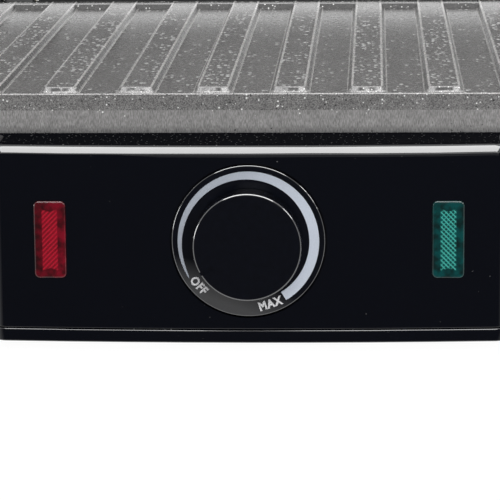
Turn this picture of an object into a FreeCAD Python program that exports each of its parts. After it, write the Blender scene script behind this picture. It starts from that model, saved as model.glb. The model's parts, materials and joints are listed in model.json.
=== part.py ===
import FreeCAD, Part
import math
import os
import Sketcher

# Contact grill for sandwiches, with a ribbed plate in the base and another in a floating lid.
# Axes: X to the user's right, Y from the front to the rear, Z up.
# Pieces are drawn about a line 150 mm behind the front of the control console, with the lid shut.
# At the end the lid's pieces are turned up, and all are moved forward, so that the origin lies on
# the table in the middle of the open grill.

os.makedirs("parts", exist_ok=True)
doc = FreeCAD.newDocument("ContactGrill")

DRIVING_SIZES = [
    ("frame_shift", 45.1, "how far the drawn pieces are moved forward at the end"),
    ("console_front", 150, "front of the console's crown to the drawing's origin"),
    ("console_width", 161.6, "width of the control console"),
    ("console_bow", 3.03, "how far the middle of the console's front stands forward"),
    ("console_corner", 5, "radius of the console's upright corners"),
    ("console_reach", 26, "how far the console stands in front of the body"),
    ("top_edge", 4, "radius round the top edge of the base"),
    ("body_width", 288, "width of the base"),
    ("body_depth", 292, "depth of the base behind the console"),
    ("body_corner", 16, "radius of the body's upright corners"),
    ("deck_level", 66, "height of the deck that the lower plate stands on"),
    ("deck_thickness", 3, "thickness of the deck"),
    ("seam_level", 8.2, "height of the seam between housing and bottom cover"),
    ("foot_height", 4, "height of the rubber feet"),
    ("foot_radius", 9, "radius of a rubber foot"),
    ("wall", 2.6, "thickness of the moulded walls"),
    ("panel_depth", 5.8, "console front to the inside of its panel, at the crown"),
    ("plate_width", 280, "width of a grill plate"),
    ("plate_depth", 245, "depth of a grill plate"),
    ("plate_set_back", 28, "lip of the lower plate behind the console's front"),
    ("plate_corner", 14, "radius of a plate's corners"),
    ("plate_thickness", 5, "thickness of a plate's floor"),
    ("plate_wall", 3.5, "thickness of a plate's skirt"),
    ("flange_height", 5.4, "height of the plate's upright edge"),
    ("skirt_height", 7.1, "height of the skirt below that edge"),
    ("skirt_angle", 6.4, "outward slope of the skirt in degrees"),
    ("rib_pitch", 24.4, "distance from rib to rib"),
    ("rib_count", 10, "ribs on a plate"),
    ("rib_top", 10, "width of a rib's flat top"),
    ("rib_height", 1.8, "height of a rib"),
    ("rib_run", 1.25, "width of a rib's sloping side"),
    ("rib_gap", 1.6, "lip of the plate to the foot of a rib"),
    ("rim_side", 10.8, "width of the rim at the plate's sides"),
    ("rim_rear", 11, "width of the rim at the plate's rear"),
    ("closing_gap", 1.2, "gap between the ribs when the lid is shut"),
    ("drain_x", 122, "drain to the centre line"),
    ("drain_y", 96, "drain in front of the drawing's origin"),
    ("drain_radius", 3, "radius of the drain"),
    ("dial_height", 36.4, "height of the dial's centre"),
    ("dial_radius", 23.8, "radius of the dial disc"),
    ("dial_gap", 0.6, "gap round the dial disc"),
    ("dial_recess", 2.4, "depth of the dial's recess at the crown"),
    ("dial_proud", 0.4, "how far the dial disc stands out"),
    ("knob_radius", 16.7, "radius of the knob"),
    ("knob_height", 10.4, "dial disc to the knob's face"),
    ("knob_gap", 0.5, "gap between knob and dial disc"),
    ("spindle_radius", 3, "radius of the thermostat's spindle"),
    ("lamp_x", 61.75, "centre of a lamp to the centre line"),
    ("lamp_height", 36.6, "height of a lamp's centre"),
    ("lens_width", 9.9, "width of a lamp lens"),
    ("lens_height", 24.2, "height of a lamp lens"),
    ("lens_proud", 0.9, "how far a lens stands out of the panel"),
    ("hinge_y", 150, "hinge axis behind the drawing's origin"),
    ("hinge_z", 78, "height of the hinge axis"),
    ("hinge_radius", 4, "radius of the hinge shaft"),
    ("hinge_lift", 12, "how far the hinge shaft can rise in its slots"),
    ("tower_radius", 11.5, "radius round the top of a hinge tower"),
    ("tower_width", 14, "width of a hinge tower"),
    ("tower_inset", 17, "outer face of a hinge tower to the side of the body"),
    ("lug_width", 12, "width of a hinge lug"),
    ("lug_radius", 10, "radius round the eye of a hinge lug"),
    ("stop_reach", 11.6, "hinge axis to the heel that rests on the deck, lid open"),
    ("stop_slope", 10, "slope of that heel in degrees, lid shut"),
    ("running_gap", 0.05, "radial clearance of a shaft that turns"),
    ("lid_width", 287, "width of the lid"),
    ("lid_depth", 258, "depth of the lid"),
    ("lid_height", 34, "height of the lid's shell"),
    ("lid_shoulder", 13, "radius round the lid's top edge"),
    ("grip_length", 190, "length of the handle's grip"),
    ("grip_reach", 40, "front of the lid to the middle of the grip"),
    ("grip_radius", 11, "radius of the grip at its middle"),
    ("bracket_width", 12, "width of a handle bracket"),
    ("tray_length", 60, "length of the drip tray behind its face"),
    ("tray_width", 68, "width of the drip tray"),
    ("tray_height", 19, "height of the drip tray"),
    ("tray_wall", 1.6, "thickness of the drip tray's walls"),
    ("element_radius", 3.25, "radius of a heating element"),
    ("open_angle", 100, "angle between the closed and the open lid"),
]

sheet = doc.addObject("Spreadsheet::Sheet", "Sizes")
for row, (alias, number, note) in enumerate(DRIVING_SIZES, start=1):
    sheet.set("A%d" % row, alias)
    sheet.set("B%d" % row, str(number))
    sheet.set("C%d" % row, note)
    sheet.setAlias("B%d" % row, alias)
doc.recompute()


class Size:
    """A length or angle that knows its value and the sheet expression it comes from."""

    def __init__(self, value, text):
        self.value = float(value)
        self.text = text

    def join(self, other, sign, value):
        return Size(value, "(%s %s %s)" % (self.text, sign, other.text))

    def __add__(self, other):
        other = size(other)
        return self.join(other, "+", self.value + other.value)

    def __radd__(self, other):
        return size(other) + self

    def __sub__(self, other):
        other = size(other)
        return self.join(other, "-", self.value - other.value)

    def __rsub__(self, other):
        return size(other) - self

    def __mul__(self, other):
        other = size(other)
        return self.join(other, "*", self.value * other.value)

    def __rmul__(self, other):
        return size(other) * self

    def __truediv__(self, other):
        other = size(other)
        return self.join(other, "/", self.value / other.value)

    def __neg__(self):
        return Size(-self.value, "(0 - %s)" % self.text)


def size(number):
    """A plain number as a Size; a Size stays as it is."""
    if isinstance(number, Size):
        return number
    return Size(number, repr(float(number)))


def cell(alias):
    """The driving size that a cell of the sheet holds."""
    return Size(sheet.get(alias), "Sizes." + alias)


def bind(target, name, amount):
    """Sets a property from the sheet."""
    target.setExpression(name, size(amount).text)


# Bodies, sketches and features

def new_body(label):
    body = doc.addObject("PartDesign::Body", label)
    body.Label = label
    return body


def new_sketch(body, plane, level=0, centre=(0, 0), angle=0):
    """An empty sketch on a plane of the body, moved by level along its normal, to centre, and turned."""
    sketch = body.newObject("Sketcher::SketchObject", body.Label + "_sketch")
    origin_plane = [part for part in body.Origin.OriginFeatures if part.Role == plane + "_Plane"][0]
    sketch.AttachmentSupport = [(origin_plane, "")]
    sketch.MapMode = "FlatFace"
    for letter, amount in zip("xyz", (centre[0], centre[1], level)):
        bind(sketch, "AttachmentOffset.Base." + letter, amount)
    if size(angle).value:
        bind(sketch, "AttachmentOffset.Rotation.Angle", angle)
    return sketch


def constrain(sketch, kind, place, amount):
    """Adds a dimension to the sketch and binds it to the sheet."""
    index = sketch.addConstraint(Sketcher.Constraint(kind, *place, size(amount).value))
    bind(sketch, "Constraints[%d]" % index, amount)


def locate(sketch, geometry, point, x, y):
    constrain(sketch, "DistanceX", (-1, 1, geometry, point), x)
    constrain(sketch, "DistanceY", (-1, 1, geometry, point), y)


def arc_through(start, end, radius):
    """The arc of a given radius from start to end; a negative radius turns clockwise."""
    middle = (start + end) * 0.5
    chord = end - start
    rise = math.sqrt(max(radius ** 2 - (chord.Length / 2) ** 2, 0))
    side = FreeCAD.Vector(-chord.y, chord.x, 0).normalize()
    centre = middle + side * math.copysign(rise, radius)
    circle = Part.Circle(centre, FreeCAD.Vector(0, 0, 1), abs(radius))
    first, last = (start, end) if radius > 0 else (end, start)
    return Part.ArcOfCircle(circle, circle.parameter(first), circle.parameter(last))


def outline(sketch, steps, closed=True):
    """Draws through the steps: (x, y) is reached by a line, (x, y, radius) by an arc."""
    places = [FreeCAD.Vector(size(step[0]).value, size(step[1]).value, 0) for step in steps]
    ends = []
    for index, step in enumerate(steps):
        if index == 0 and not closed:
            continue
        start = places[index - 1]
        end = places[index]
        if len(step) == 2:
            geometry = sketch.addGeometry(Part.LineSegment(start, end), False)
            ends.append((geometry, 1, 2))
            continue
        radius = size(step[2]).value
        geometry = sketch.addGeometry(arc_through(start, end, radius), False)
        ends.append((geometry, 1, 2) if radius > 0 else (geometry, 2, 1))
    for index, (geometry, first, last) in enumerate(ends):
        before = ends[index - 1]
        if index or closed:
            sketch.addConstraint(Sketcher.Constraint("Coincident", before[0], before[2], geometry, first))
    if not closed:
        locate(sketch, ends[0][0], ends[0][1], *steps[0])
        steps = steps[1:]
    for step, (geometry, first, last) in zip(steps, ends):
        locate(sketch, geometry, last, step[0], step[1])
        if len(step) == 3:
            radius = step[2] if size(step[2]).value > 0 else -size(step[2])
            constrain(sketch, "Radius", (geometry,), radius)


def rectangle(sketch, left, front, right, rear):
    outline(sketch, [(left, front), (right, front), (right, rear), (left, rear)])


def rounded_rectangle(sketch, left, front, right, rear, radius):
    outline(sketch, [
        (left + radius, front, radius), (right - radius, front),
        (right, front + radius, radius), (right, rear - radius),
        (right - radius, rear, radius), (left + radius, rear),
        (left, rear - radius, radius), (left, front + radius)])


def circle(sketch, x, y, radius):
    shape = Part.Circle(FreeCAD.Vector(size(x).value, size(y).value, 0),
                        FreeCAD.Vector(0, 0, 1), size(radius).value)
    geometry = sketch.addGeometry(shape, False)
    locate(sketch, geometry, 3, x, y)
    constrain(sketch, "Radius", (geometry,), radius)


def extrude(body, kind, sketch, length, reverse=False, taper=0):
    """A pad or a pocket; a positive taper narrows it on its way."""
    before = body.Shape.Volume if body.Tip else 0
    feature = body.newObject("PartDesign::" + kind, body.Label + "_" + kind.lower())
    feature.Profile = sketch
    feature.Reversed = reverse
    bind(feature, "Length", length)
    bind(feature, "TaperAngle", -size(taper))
    doc.recompute()
    check_change(body, kind == "Pad", before)
    return feature


def turn(body, kind, sketch, axis):
    """A revolution or a groove, a full turn about one axis of the sketch."""
    before = body.Shape.Volume if body.Tip else 0
    feature = body.newObject("PartDesign::" + kind, body.Label + "_" + kind.lower())
    feature.Profile = sketch
    feature.ReferenceAxis = (sketch, [axis])
    feature.Angle = 360
    doc.recompute()
    check_change(body, kind == "Revolution", before)
    return feature


def check_change(body, adds, before):
    """Stops where a feature left the body's volume as it was."""
    change = body.Shape.Volume - before
    if abs(change) < 0.01 or (change > 0) != adds:
        raise RuntimeError("a feature of %s changed its volume by %.2f" % (body.Label, change))


def pad(body, sketch, length, reverse=False, taper=0):
    return extrude(body, "Pad", sketch, length, reverse, taper)


def pocket(body, sketch, length, reverse=False, taper=0):
    return extrude(body, "Pocket", sketch, length, reverse, taper)


def repeat(body, feature, axis, step, count):
    """Repeats a feature in a line; the length is that of the whole row."""
    pattern = body.newObject("PartDesign::LinearPattern", body.Label + "_row")
    pattern.Originals = [feature]
    line = [part for part in body.Origin.OriginFeatures if part.Role == axis + "_Axis"][0]
    pattern.Direction = (line, [""])
    bind(pattern, "Length", step * (count - 1))
    bind(pattern, "Occurrences", count)
    body.Tip = pattern
    doc.recompute()
    return pattern


def round_edges(body, radius, test, kind="Fillet"):
    """Fillets or chamfers the body's edges that pass a test."""
    base = body.Tip
    names = ["Edge%d" % (index + 1) for index, edge in enumerate(base.Shape.Edges) if test(edge)]
    if not names:
        raise RuntimeError("no edge of %s to round" % body.Label)
    feature = body.newObject("PartDesign::" + kind, body.Label + "_" + kind.lower())
    feature.Base = (base, names)
    bind(feature, "Radius" if kind == "Fillet" else "Size", radius)
    doc.recompute()
    if "Invalid" in feature.State:
        raise RuntimeError("a rounded edge of %s failed" % body.Label)
    return feature


def hollow(body, thickness, level):
    """Turns the body into a shell that is open on its flat face at one height."""
    base = body.Tip
    height = size(level).value
    names = ["Face%d" % (index + 1) for index, face in enumerate(base.Shape.Faces)
             if abs(face.BoundBox.ZMin - height) < 0.01 and abs(face.BoundBox.ZMax - height) < 0.01]
    shell = body.newObject("PartDesign::Thickness", body.Label + "_shell")
    shell.Base = (base, names)
    shell.Reversed = True
    bind(shell, "Value", thickness)
    doc.recompute()
    return shell


def level_edges(level):
    """Passes the edges that lie flat at one height."""
    height = size(level).value
    return lambda edge: abs(edge.BoundBox.ZMin - height) < 0.01 and abs(edge.BoundBox.ZMax - height) < 0.01


def upright_edges(test):
    """Passes the upright edges whose place in plan passes a test."""
    return lambda edge: (edge.BoundBox.XLength < 0.01 and edge.BoundBox.YLength < 0.01
                         and test(edge.BoundBox.XMin, edge.BoundBox.YMin))


# Simple solids and groups of them

def new_feature(kind, label, name):
    feature = doc.addObject("Part::" + kind, name)
    feature.Label = label
    return feature


def cylinder(name, radius, length, place, axis="Z"):
    """A cylinder that starts at place and runs along an axis."""
    solid = new_feature("Cylinder", name, name)
    bind(solid, "Radius", radius)
    bind(solid, "Height", length)
    turns = {"X": FreeCAD.Rotation(FreeCAD.Vector(0, 1, 0), 90), "Z": FreeCAD.Rotation(),
             "Y": FreeCAD.Rotation(FreeCAD.Vector(1, 0, 0), -90)}
    solid.Placement = FreeCAD.Placement(FreeCAD.Vector(*[size(part).value for part in place]), turns[axis])
    for letter, part in zip("xyz", place):
        bind(solid, "Placement.Base." + letter, part)
    return solid


def box(name, length, width, height, place):
    """A box from its low corner."""
    solid = new_feature("Box", name, name)
    bind(solid, "Length", length)
    bind(solid, "Width", width)
    bind(solid, "Height", height)
    for letter, part in zip("xyz", place):
        bind(solid, "Placement.Base." + letter, part)
    return solid


def fuse(label, solids):
    joined = new_feature("MultiFuse", label, label)
    joined.Shapes = solids
    joined.Refine = True
    return joined


def cut(label, base, tools):
    """Takes one or more solids away from the base."""
    tool = tools[0]
    if len(tools) > 1:
        tool = fuse(label + "_tools", tools)
    carved = new_feature("Cut", label, label)
    carved.Base = base
    carved.Tool = tool
    carved.Refine = True
    return carved


def group(label, solids):
    """Like pieces in one node, each still a solid of its own."""
    pieces = new_feature("Compound", label, label)
    pieces.Links = solids
    return pieces


# Named places, worked out from the driving sizes

front = cell("console_front")
body_front = cell("console_reach") - front
body_rear = body_front + cell("body_depth")
body_side = cell("body_width") / 2
console_side = cell("console_width") / 2
console_shoulder = cell("console_bow") - front
bow = cell("console_bow")
bow_radius = (console_side * console_side + bow * bow) / (bow * 2)
wall = cell("wall")
deck = cell("deck_level")
deck_under = deck - cell("deck_thickness")
seam = cell("seam_level")
cover_floor = cell("foot_height") + 2.2
panel_back = front - cell("panel_depth")
dial_floor = front - cell("dial_recess")
dial_face = front + cell("dial_proud")
dial_centre = (0, cell("dial_height"))
plate_side = cell("plate_width") / 2
plate_front = cell("plate_set_back") - front
plate_rear = plate_front + cell("plate_depth")
plate_level = deck + cell("skirt_height") + cell("flange_height")
plate_under = plate_level - cell("plate_thickness")
rib_level = plate_level + cell("rib_height")
hinge_y = cell("hinge_y")
hinge_z = cell("hinge_z")
lid_side = cell("lid_width") / 2
lid_front = body_front
lid_rear = lid_front + cell("lid_depth")
mating_level = rib_level + cell("closing_gap") / 2
lid_low = mating_level * 2 - deck
lid_top = lid_low + cell("lid_height")
lug_low = lid_low + 3
lug_screw_levels = (lug_low + 4, lug_low + 12)
bush_radius = cell("hinge_radius") + 2
tower_outside = body_side - cell("tower_inset")
tower_inside = tower_outside - cell("tower_width")
tower_centre = tower_outside - cell("tower_width") / 2
tower_screw_rows = (hinge_y - 6.5, hinge_y + 6.5)
turning_bore = cell("hinge_radius") + cell("running_gap")
tower_arch = hinge_z + cell("hinge_lift") - 1
lug_centre = tower_inside - 1 - cell("lug_width") / 2
opening_x = size(121)
opening_y = size(84)
stud_x = size(129)
stud_rows = (-85, 90)
stud_radius = size(4.5)
boss_radius = size(4)
boss_places = [(x, y) for x, y in ((40, -133), (135, -30), (135, 143)) for x in (-x, x)]
foot_places = [(x, y) for y in (-102, 142) for x in (-118, 118)]
element_reach = size(62)
gland_x = size(96)
gland_z = size(26)
tray_y = 24 - cell("drain_y")
tray_low = cover_floor + 6.4
bulb_x = size(2)
bulb_y = size(-110)
capillary_x = size(12)


def slope(rise, run):
    """The angle of a slope, as a plain number of degrees."""
    return Size(math.degrees(math.atan2(rise.value, run.value)),
                "(atan(%s / %s) / 1 deg)" % (rise.text, run.text))


in_frame = FreeCAD.Placement(FreeCAD.Vector(0, -cell("frame_shift").value, 0), FreeCAD.Rotation())
opened = FreeCAD.Placement(
    FreeCAD.Vector(0, 0, 0),
    FreeCAD.Rotation(FreeCAD.Vector(1, 0, 0), -cell("open_angle").value),
    FreeCAD.Vector(0, hinge_y.value, hinge_z.value))
turned_over = FreeCAD.Placement(
    FreeCAD.Vector(0, 0, 0),
    FreeCAD.Rotation(FreeCAD.Vector(0, 1, 0), 180),
    FreeCAD.Vector(0, 0, mating_level.value))


def base_outline(sketch):
    """The base in plan: a broad body with a narrower console in front, gently bowed."""
    outline(sketch, [
        (-console_side, console_shoulder), (console_side, console_shoulder, bow_radius),
        (console_side, body_front), (body_side, body_front), (body_side, body_rear),
        (-body_side, body_rear), (-body_side, body_front), (-console_side, body_front)])


def round_base_corners(body):
    side = body_side.value
    console = console_side.value
    step = body_front.value
    round_edges(body, cell("body_corner"), upright_edges(lambda x, y: abs(abs(x) - side) < 0.1))
    round_edges(body, cell("console_corner"),
                upright_edges(lambda x, y: abs(abs(x) - console) < 0.1 and y < step - 1))
    round_edges(body, 6, upright_edges(lambda x, y: abs(abs(x) - console) < 0.1 and abs(y - step) < 0.1))


# Base housing

def make_base_housing():
    body = new_body("base_housing")
    sketch = new_sketch(body, "XY", deck)
    base_outline(sketch)
    pad(body, sketch, deck - seam, reverse=True)
    round_base_corners(body)
    round_edges(body, cell("top_edge"), level_edges(deck))
    round_edges(body, 0.6, level_edges(seam), "Chamfer")
    add_housing_cavity(body)
    add_panel_openings(body)
    add_deck_openings(body)
    add_screw_bosses(body)
    add_rear_openings(body)
    return body


def add_housing_cavity(body):
    """Hollows the body and the console from below, up to the deck."""
    height = deck_under - seam
    sketch = new_sketch(body, "XY", seam)
    rounded_rectangle(sketch, wall - body_side, body_front + wall, body_side - wall, body_rear - wall,
                      cell("body_corner") - wall)
    pocket(body, sketch, height, reverse=True)
    sketch = new_sketch(body, "XY", seam)
    rounded_rectangle(sketch, wall - console_side, -panel_back, console_side - wall, body_front + 12,
                      cell("console_corner") - wall)
    pocket(body, sketch, height, reverse=True)


def add_panel_openings(body):
    """The dial's recess, the spindle's hole, the lamp windows and the blind holes of two screws."""
    sketch = new_sketch(body, "XZ", front + 1, dial_centre)
    circle(sketch, 0, 0, cell("dial_radius") + cell("dial_gap"))
    pocket(body, sketch, cell("dial_recess") + 1)
    sketch = new_sketch(body, "XZ", front, dial_centre)
    circle(sketch, 0, 0, cell("spindle_radius") + 0.6)
    pocket(body, sketch, cell("panel_depth") + 1)
    half_width = cell("lens_width") / 2 + 0.1
    half_height = cell("lens_height") / 2 + 0.1
    for side in (-1, 1):
        sketch = new_sketch(body, "XZ", front, (cell("lamp_x") * side, cell("lamp_height")))
        rounded_rectangle(sketch, -half_width, -half_height, half_width, half_height, 1.7)
        pocket(body, sketch, cell("panel_depth") + 1)
        sketch = new_sketch(body, "XZ", panel_back, (21.5 * side, cell("dial_height")))
        circle(sketch, 0, 0, 1.45)
        pocket(body, sketch, 2.8, reverse=True)


def add_deck_openings(body):
    """The well for the reflector, the holes of screws, drain and capillary, and the tray's slot."""
    sketch = new_sketch(body, "XY", deck + 1)
    rounded_rectangle(sketch, -opening_x, -opening_y, opening_x, opening_y, 8)
    pocket(body, sketch, cell("deck_thickness") + 2)
    holes = [(x, y, 2.2) for x in (-stud_x, stud_x) for y in stud_rows]
    holes.append((-cell("drain_x"), -cell("drain_y"), cell("drain_radius") + 2.6))
    holes.append((capillary_x, bulb_y, 2))
    holes.extend((tower_centre * side, y, 1.6) for side in (-1, 1) for y in tower_screw_rows)
    sketch = new_sketch(body, "XY", deck + 1)
    for x, y, radius in holes:
        circle(sketch, x, y, radius)
    pocket(body, sketch, cell("deck_thickness") + 2)
    sketch = new_sketch(body, "YZ", -body_side - 1)
    gap = 0.4
    rounded_rectangle(sketch, tray_y - cell("tray_width") / 2 - gap, tray_low - gap,
                      tray_y + cell("tray_width") / 2 + gap, tray_low + cell("tray_height") + gap, 2)
    pocket(body, sketch, wall + 2, reverse=True)


def add_screw_bosses(body):
    """Round bosses that the bottom cover is screwed to."""
    sketch = new_sketch(body, "XY", deck_under + 0.5)
    for x, y in boss_places:
        circle(sketch, x, y, boss_radius)
    pad(body, sketch, deck_under + 0.5 - cover_floor, reverse=True)
    sketch = new_sketch(body, "XY", cover_floor)
    for x, y in boss_places:
        circle(sketch, x, y, 1.55)
    pocket(body, sketch, 17, reverse=True)


def add_rear_openings(body):
    """A row of upright vents and the hole of the cord bush, in the rear wall."""
    sketch = new_sketch(body, "XZ", -body_rear)
    circle(sketch, gland_x, gland_z, 7.05)
    pocket(body, sketch, wall + 1, reverse=True)
    sketch = new_sketch(body, "XZ", -body_rear)
    rectangle(sketch, -61.6, 24, -58.4, 46)
    vent = pocket(body, sketch, wall + 1, reverse=True)
    repeat(body, vent, "X", size(8), size(16))


# Bottom cover and what is screwed to it

def make_bottom_cover():
    body = new_body("bottom_cover")
    low = cell("foot_height")
    sketch = new_sketch(body, "XY", seam)
    base_outline(sketch)
    pad(body, sketch, seam - low, reverse=True)
    round_base_corners(body)
    round_edges(body, 0.4, level_edges(low), "Chamfer")
    round_edges(body, 0.5, level_edges(seam), "Chamfer")
    rim = wall + 0.6
    sketch = new_sketch(body, "XY", seam)
    rounded_rectangle(sketch, rim - body_side, body_front + rim, body_side - rim, body_rear - rim,
                      cell("body_corner") - rim)
    pocket(body, sketch, seam - cover_floor)
    sketch = new_sketch(body, "XY", seam)
    rounded_rectangle(sketch, rim - console_side, console_shoulder + rim, console_side - rim,
                      body_front + 12, cell("console_corner") - rim)
    pocket(body, sketch, seam - cover_floor)
    add_tray_guides(body)
    add_cover_holes(body)
    return body


def add_tray_guides(body):
    """Two low walls that the drip tray slides on."""
    sketch = new_sketch(body, "XY", cover_floor)
    for side in (-1, 1):
        centre = tray_y + side * 22
        rectangle(sketch, -body_side + wall + 2, centre - 1, -body_side + cell("tray_length"), centre + 1)
    pad(body, sketch, tray_low - 0.1 - cover_floor)


def add_cover_holes(body):
    """Holes for screws and feet, and rows of vent slots under the heating element."""
    sketch = new_sketch(body, "XY", cover_floor)
    for x, y in boss_places:
        circle(sketch, x, y, 1.7)
    for x, y in foot_places:
        circle(sketch, x, y, 3.05)
    pocket(body, sketch, cover_floor)
    sketch = new_sketch(body, "XY", cell("foot_height"))
    for x, y in boss_places:
        circle(sketch, x, y, 3.6)
    pocket(body, sketch, 1.1, reverse=True)
    for rear in (-8, 62):
        sketch = new_sketch(body, "XY", cover_floor)
        rectangle(sketch, -58, rear - 48, -54, rear)
        slot = pocket(body, sketch, cover_floor)
        repeat(body, slot, "X", size(14), size(9))


def make_rubber_feet():
    feet = []
    for index, (x, y) in enumerate(foot_places, start=1):
        body = new_body("rubber_foot_%d" % index)
        sketch = new_sketch(body, "XY")
        circle(sketch, x, y, cell("foot_radius"))
        pad(body, sketch, cell("foot_height"), taper=-4)
        round_edges(body, 0.8, level_edges(0), "Chamfer")
        sketch = new_sketch(body, "XY", cell("foot_height"))
        circle(sketch, x, y, 3)
        pad(body, sketch, 2.2)
        sketch = new_sketch(body, "XY", cover_floor)
        circle(sketch, x, y, 4.2)
        pad(body, sketch, 1.4, taper=20)
        feet.append(body)
    return group("rubber_feet", feet)


# Grill plates; the upper one is the lower one without its drain, turned over

def make_plate(label, with_drain):
    body = new_body(label)
    corner = cell("plate_corner")
    sketch = new_sketch(body, "XY", rib_level)
    rounded_rectangle(sketch, -plate_side, plate_front, plate_side, plate_rear, corner)
    pad(body, sketch, cell("rib_height") + cell("flange_height"), reverse=True)
    sketch = new_sketch(body, "XY", rib_level)
    field_side = plate_side - cell("rim_side")
    rounded_rectangle(sketch, -field_side, plate_front - 20, field_side, plate_rear - cell("rim_rear"), 6)
    pocket(body, sketch, cell("rib_height"), taper=rib_slope)
    add_ribs(body)
    round_plate_edges(body)
    sketch = new_sketch(body, "XY", plate_level - cell("flange_height"))
    rounded_rectangle(sketch, -plate_side, plate_front, plate_side, plate_rear, corner)
    pad(body, sketch, cell("skirt_height"), reverse=True, taper=-cell("skirt_angle"))
    hollow = cell("plate_wall")
    sketch = new_sketch(body, "XY", deck)
    rounded_rectangle(sketch, hollow - plate_side, plate_front + hollow, plate_side - hollow,
                      plate_rear - hollow, corner - hollow)
    pocket(body, sketch, plate_under - deck, reverse=True)
    add_studs(body)
    if with_drain:
        add_drain(body)
    return body


rib_slope = slope(cell("rib_run"), cell("rib_height"))


def add_ribs(body):
    """Flat-topped ribs with sloping sides, from just behind the lip into the rear rim."""
    half = cell("rib_top") / 2 + cell("rib_run")
    first = -cell("rib_pitch") * (cell("rib_count") - 1) / 2
    sketch = new_sketch(body, "XY", plate_level, (first, 0))
    front_end = plate_front + cell("rib_gap")
    corner = size(1.8)
    outline(sketch, [
        (-half + corner, front_end, corner), (half - corner, front_end),
        (half, front_end + corner, corner), (half, plate_rear - 4), (-half, plate_rear - 4),
        (-half, front_end + corner)])
    rib = pad(body, sketch, cell("rib_height"), taper=rib_slope)
    repeat(body, rib, "X", cell("rib_pitch"), cell("rib_count"))


def round_plate_edges(body):
    """Rounds the lip, and the edges round the flat tops of the ribs and the rim."""
    lip = plate_front.value
    top = level_edges(rib_level)
    level = level_edges(plate_level)
    round_edges(body, 0.5, lambda edge: top(edge) or (level(edge) and abs(edge.BoundBox.YMax - lip) < 0.01))


def add_studs(body):
    """Four studs under the plate that its screws go into."""
    sketch = new_sketch(body, "XY", plate_under)
    for x in (-stud_x, stud_x):
        for y in stud_rows:
            circle(sketch, x, y, stud_radius)
    pad(body, sketch, plate_under - deck, reverse=True)
    sketch = new_sketch(body, "XY", deck)
    for x in (-stud_x, stud_x):
        for y in stud_rows:
            circle(sketch, x, y, 1.6)
    pocket(body, sketch, 10, reverse=True)


def add_drain(body):
    """A drain through the plate with a spout that ends above the drip tray."""
    place = (-cell("drain_x"), -cell("drain_y"))
    sketch = new_sketch(body, "XY", plate_under)
    circle(sketch, *place, cell("drain_radius") + 2)
    pad(body, sketch, plate_under - 42, reverse=True)
    sketch = new_sketch(body, "XY", rib_level)
    circle(sketch, *place, cell("drain_radius"))
    pocket(body, sketch, 60)


# Heating element, reflector pan and clips; made once below and once above

def make_element(label):
    """A tubular element bent into a loop that lies against the plate's underside."""
    radius = cell("element_radius")
    level = plate_under - radius
    bend = size(14)
    end = size(105)
    far = size(92)
    body = new_body(label)
    spine = new_sketch(body, "XY", level)
    outline(spine, [
        (end, element_reach), (bend - far, element_reach), (-far, element_reach - bend, bend),
        (-far, bend - element_reach), (bend - far, -element_reach, bend), (end, -element_reach)],
        closed=False)
    profile = new_sketch(body, "YZ", end)
    circle(profile, element_reach, level, radius)
    doc.recompute()
    tube = body.newObject("PartDesign::AdditivePipe", label + "_tube")
    tube.Profile = profile
    tube.Spine = (spine, ["Edge%d" % (index + 1) for index in range(len(spine.Shape.Edges))])
    doc.recompute()
    return body


def make_element_pins(label):
    """The two cold ends that the wires are crimped to."""
    level = plate_under - cell("element_radius")
    pins = [cylinder("%s_%d" % (label, number), 1.3, 9, (105, y, level), "X")
            for number, y in enumerate((-element_reach, element_reach), start=1)]
    return group(label, pins)


def make_reflector(label):
    """A pressed steel pan that hangs in the deck's opening by its flange."""
    body = new_body(label)
    sheet_gauge = size(0.8)
    inset = size(0.8)
    side = opening_x - inset
    depth = opening_y - inset
    sketch = new_sketch(body, "XY", deck + sheet_gauge)
    rounded_rectangle(sketch, -side - 3, -depth - 3.5, side + 3, depth + 3.5, 10)
    pad(body, sketch, sheet_gauge, reverse=True)
    sketch = new_sketch(body, "XY", deck)
    rounded_rectangle(sketch, -side, -depth, side, depth, 7.2)
    pad(body, sketch, 12, reverse=True)
    round_edges(body, 1.5, level_edges(deck - 12), "Chamfer")
    sketch = new_sketch(body, "XY", deck + sheet_gauge)
    rounded_rectangle(sketch, sheet_gauge - side, sheet_gauge - depth, side - sheet_gauge,
                      depth - sheet_gauge, 6.4)
    pocket(body, sketch, 12)
    round_edges(body, 1.2, level_edges(deck - 12 + sheet_gauge), "Chamfer")
    return body


def make_element_clips(label):
    """Four folded saddles on the pan's floor; the element lies in their grooves."""
    clips = []
    low = deck - 12 + 0.8
    level = plate_under - cell("element_radius")
    for x in (-45, 45):
        for y in (-element_reach, element_reach):
            name = "%s_%d" % (label[:-1], len(clips) + 1)
            post = box(name + "_post", 10, 10, level - low, (x - 5, y - 5, low))
            bed = cylinder(name + "_bed", cell("element_radius") + 0.05, 12, (x - 6, y, level), "X")
            window = box(name + "_window", 12, 6, 6, (x - 6, y - 3, low + 3))
            clips.append(cut(name, post, [bed, window]))
    return group(label, clips)


# Thermostat, dial and knob

def make_thermostat_bracket():
    plate = box("bracket_plate", 52, 1.2, 26, (-26, -panel_back, cell("dial_height") - 13))
    holes = [cylinder("bracket_hole_%d" % number, radius, 4, (x, -panel_back - 1, cell("dial_height")), "Y")
             for number, (x, radius) in enumerate(((-21.5, 1.6), (0, 4), (21.5, 1.6)), start=1)]
    return cut("thermostat_bracket", plate, holes)


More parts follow.
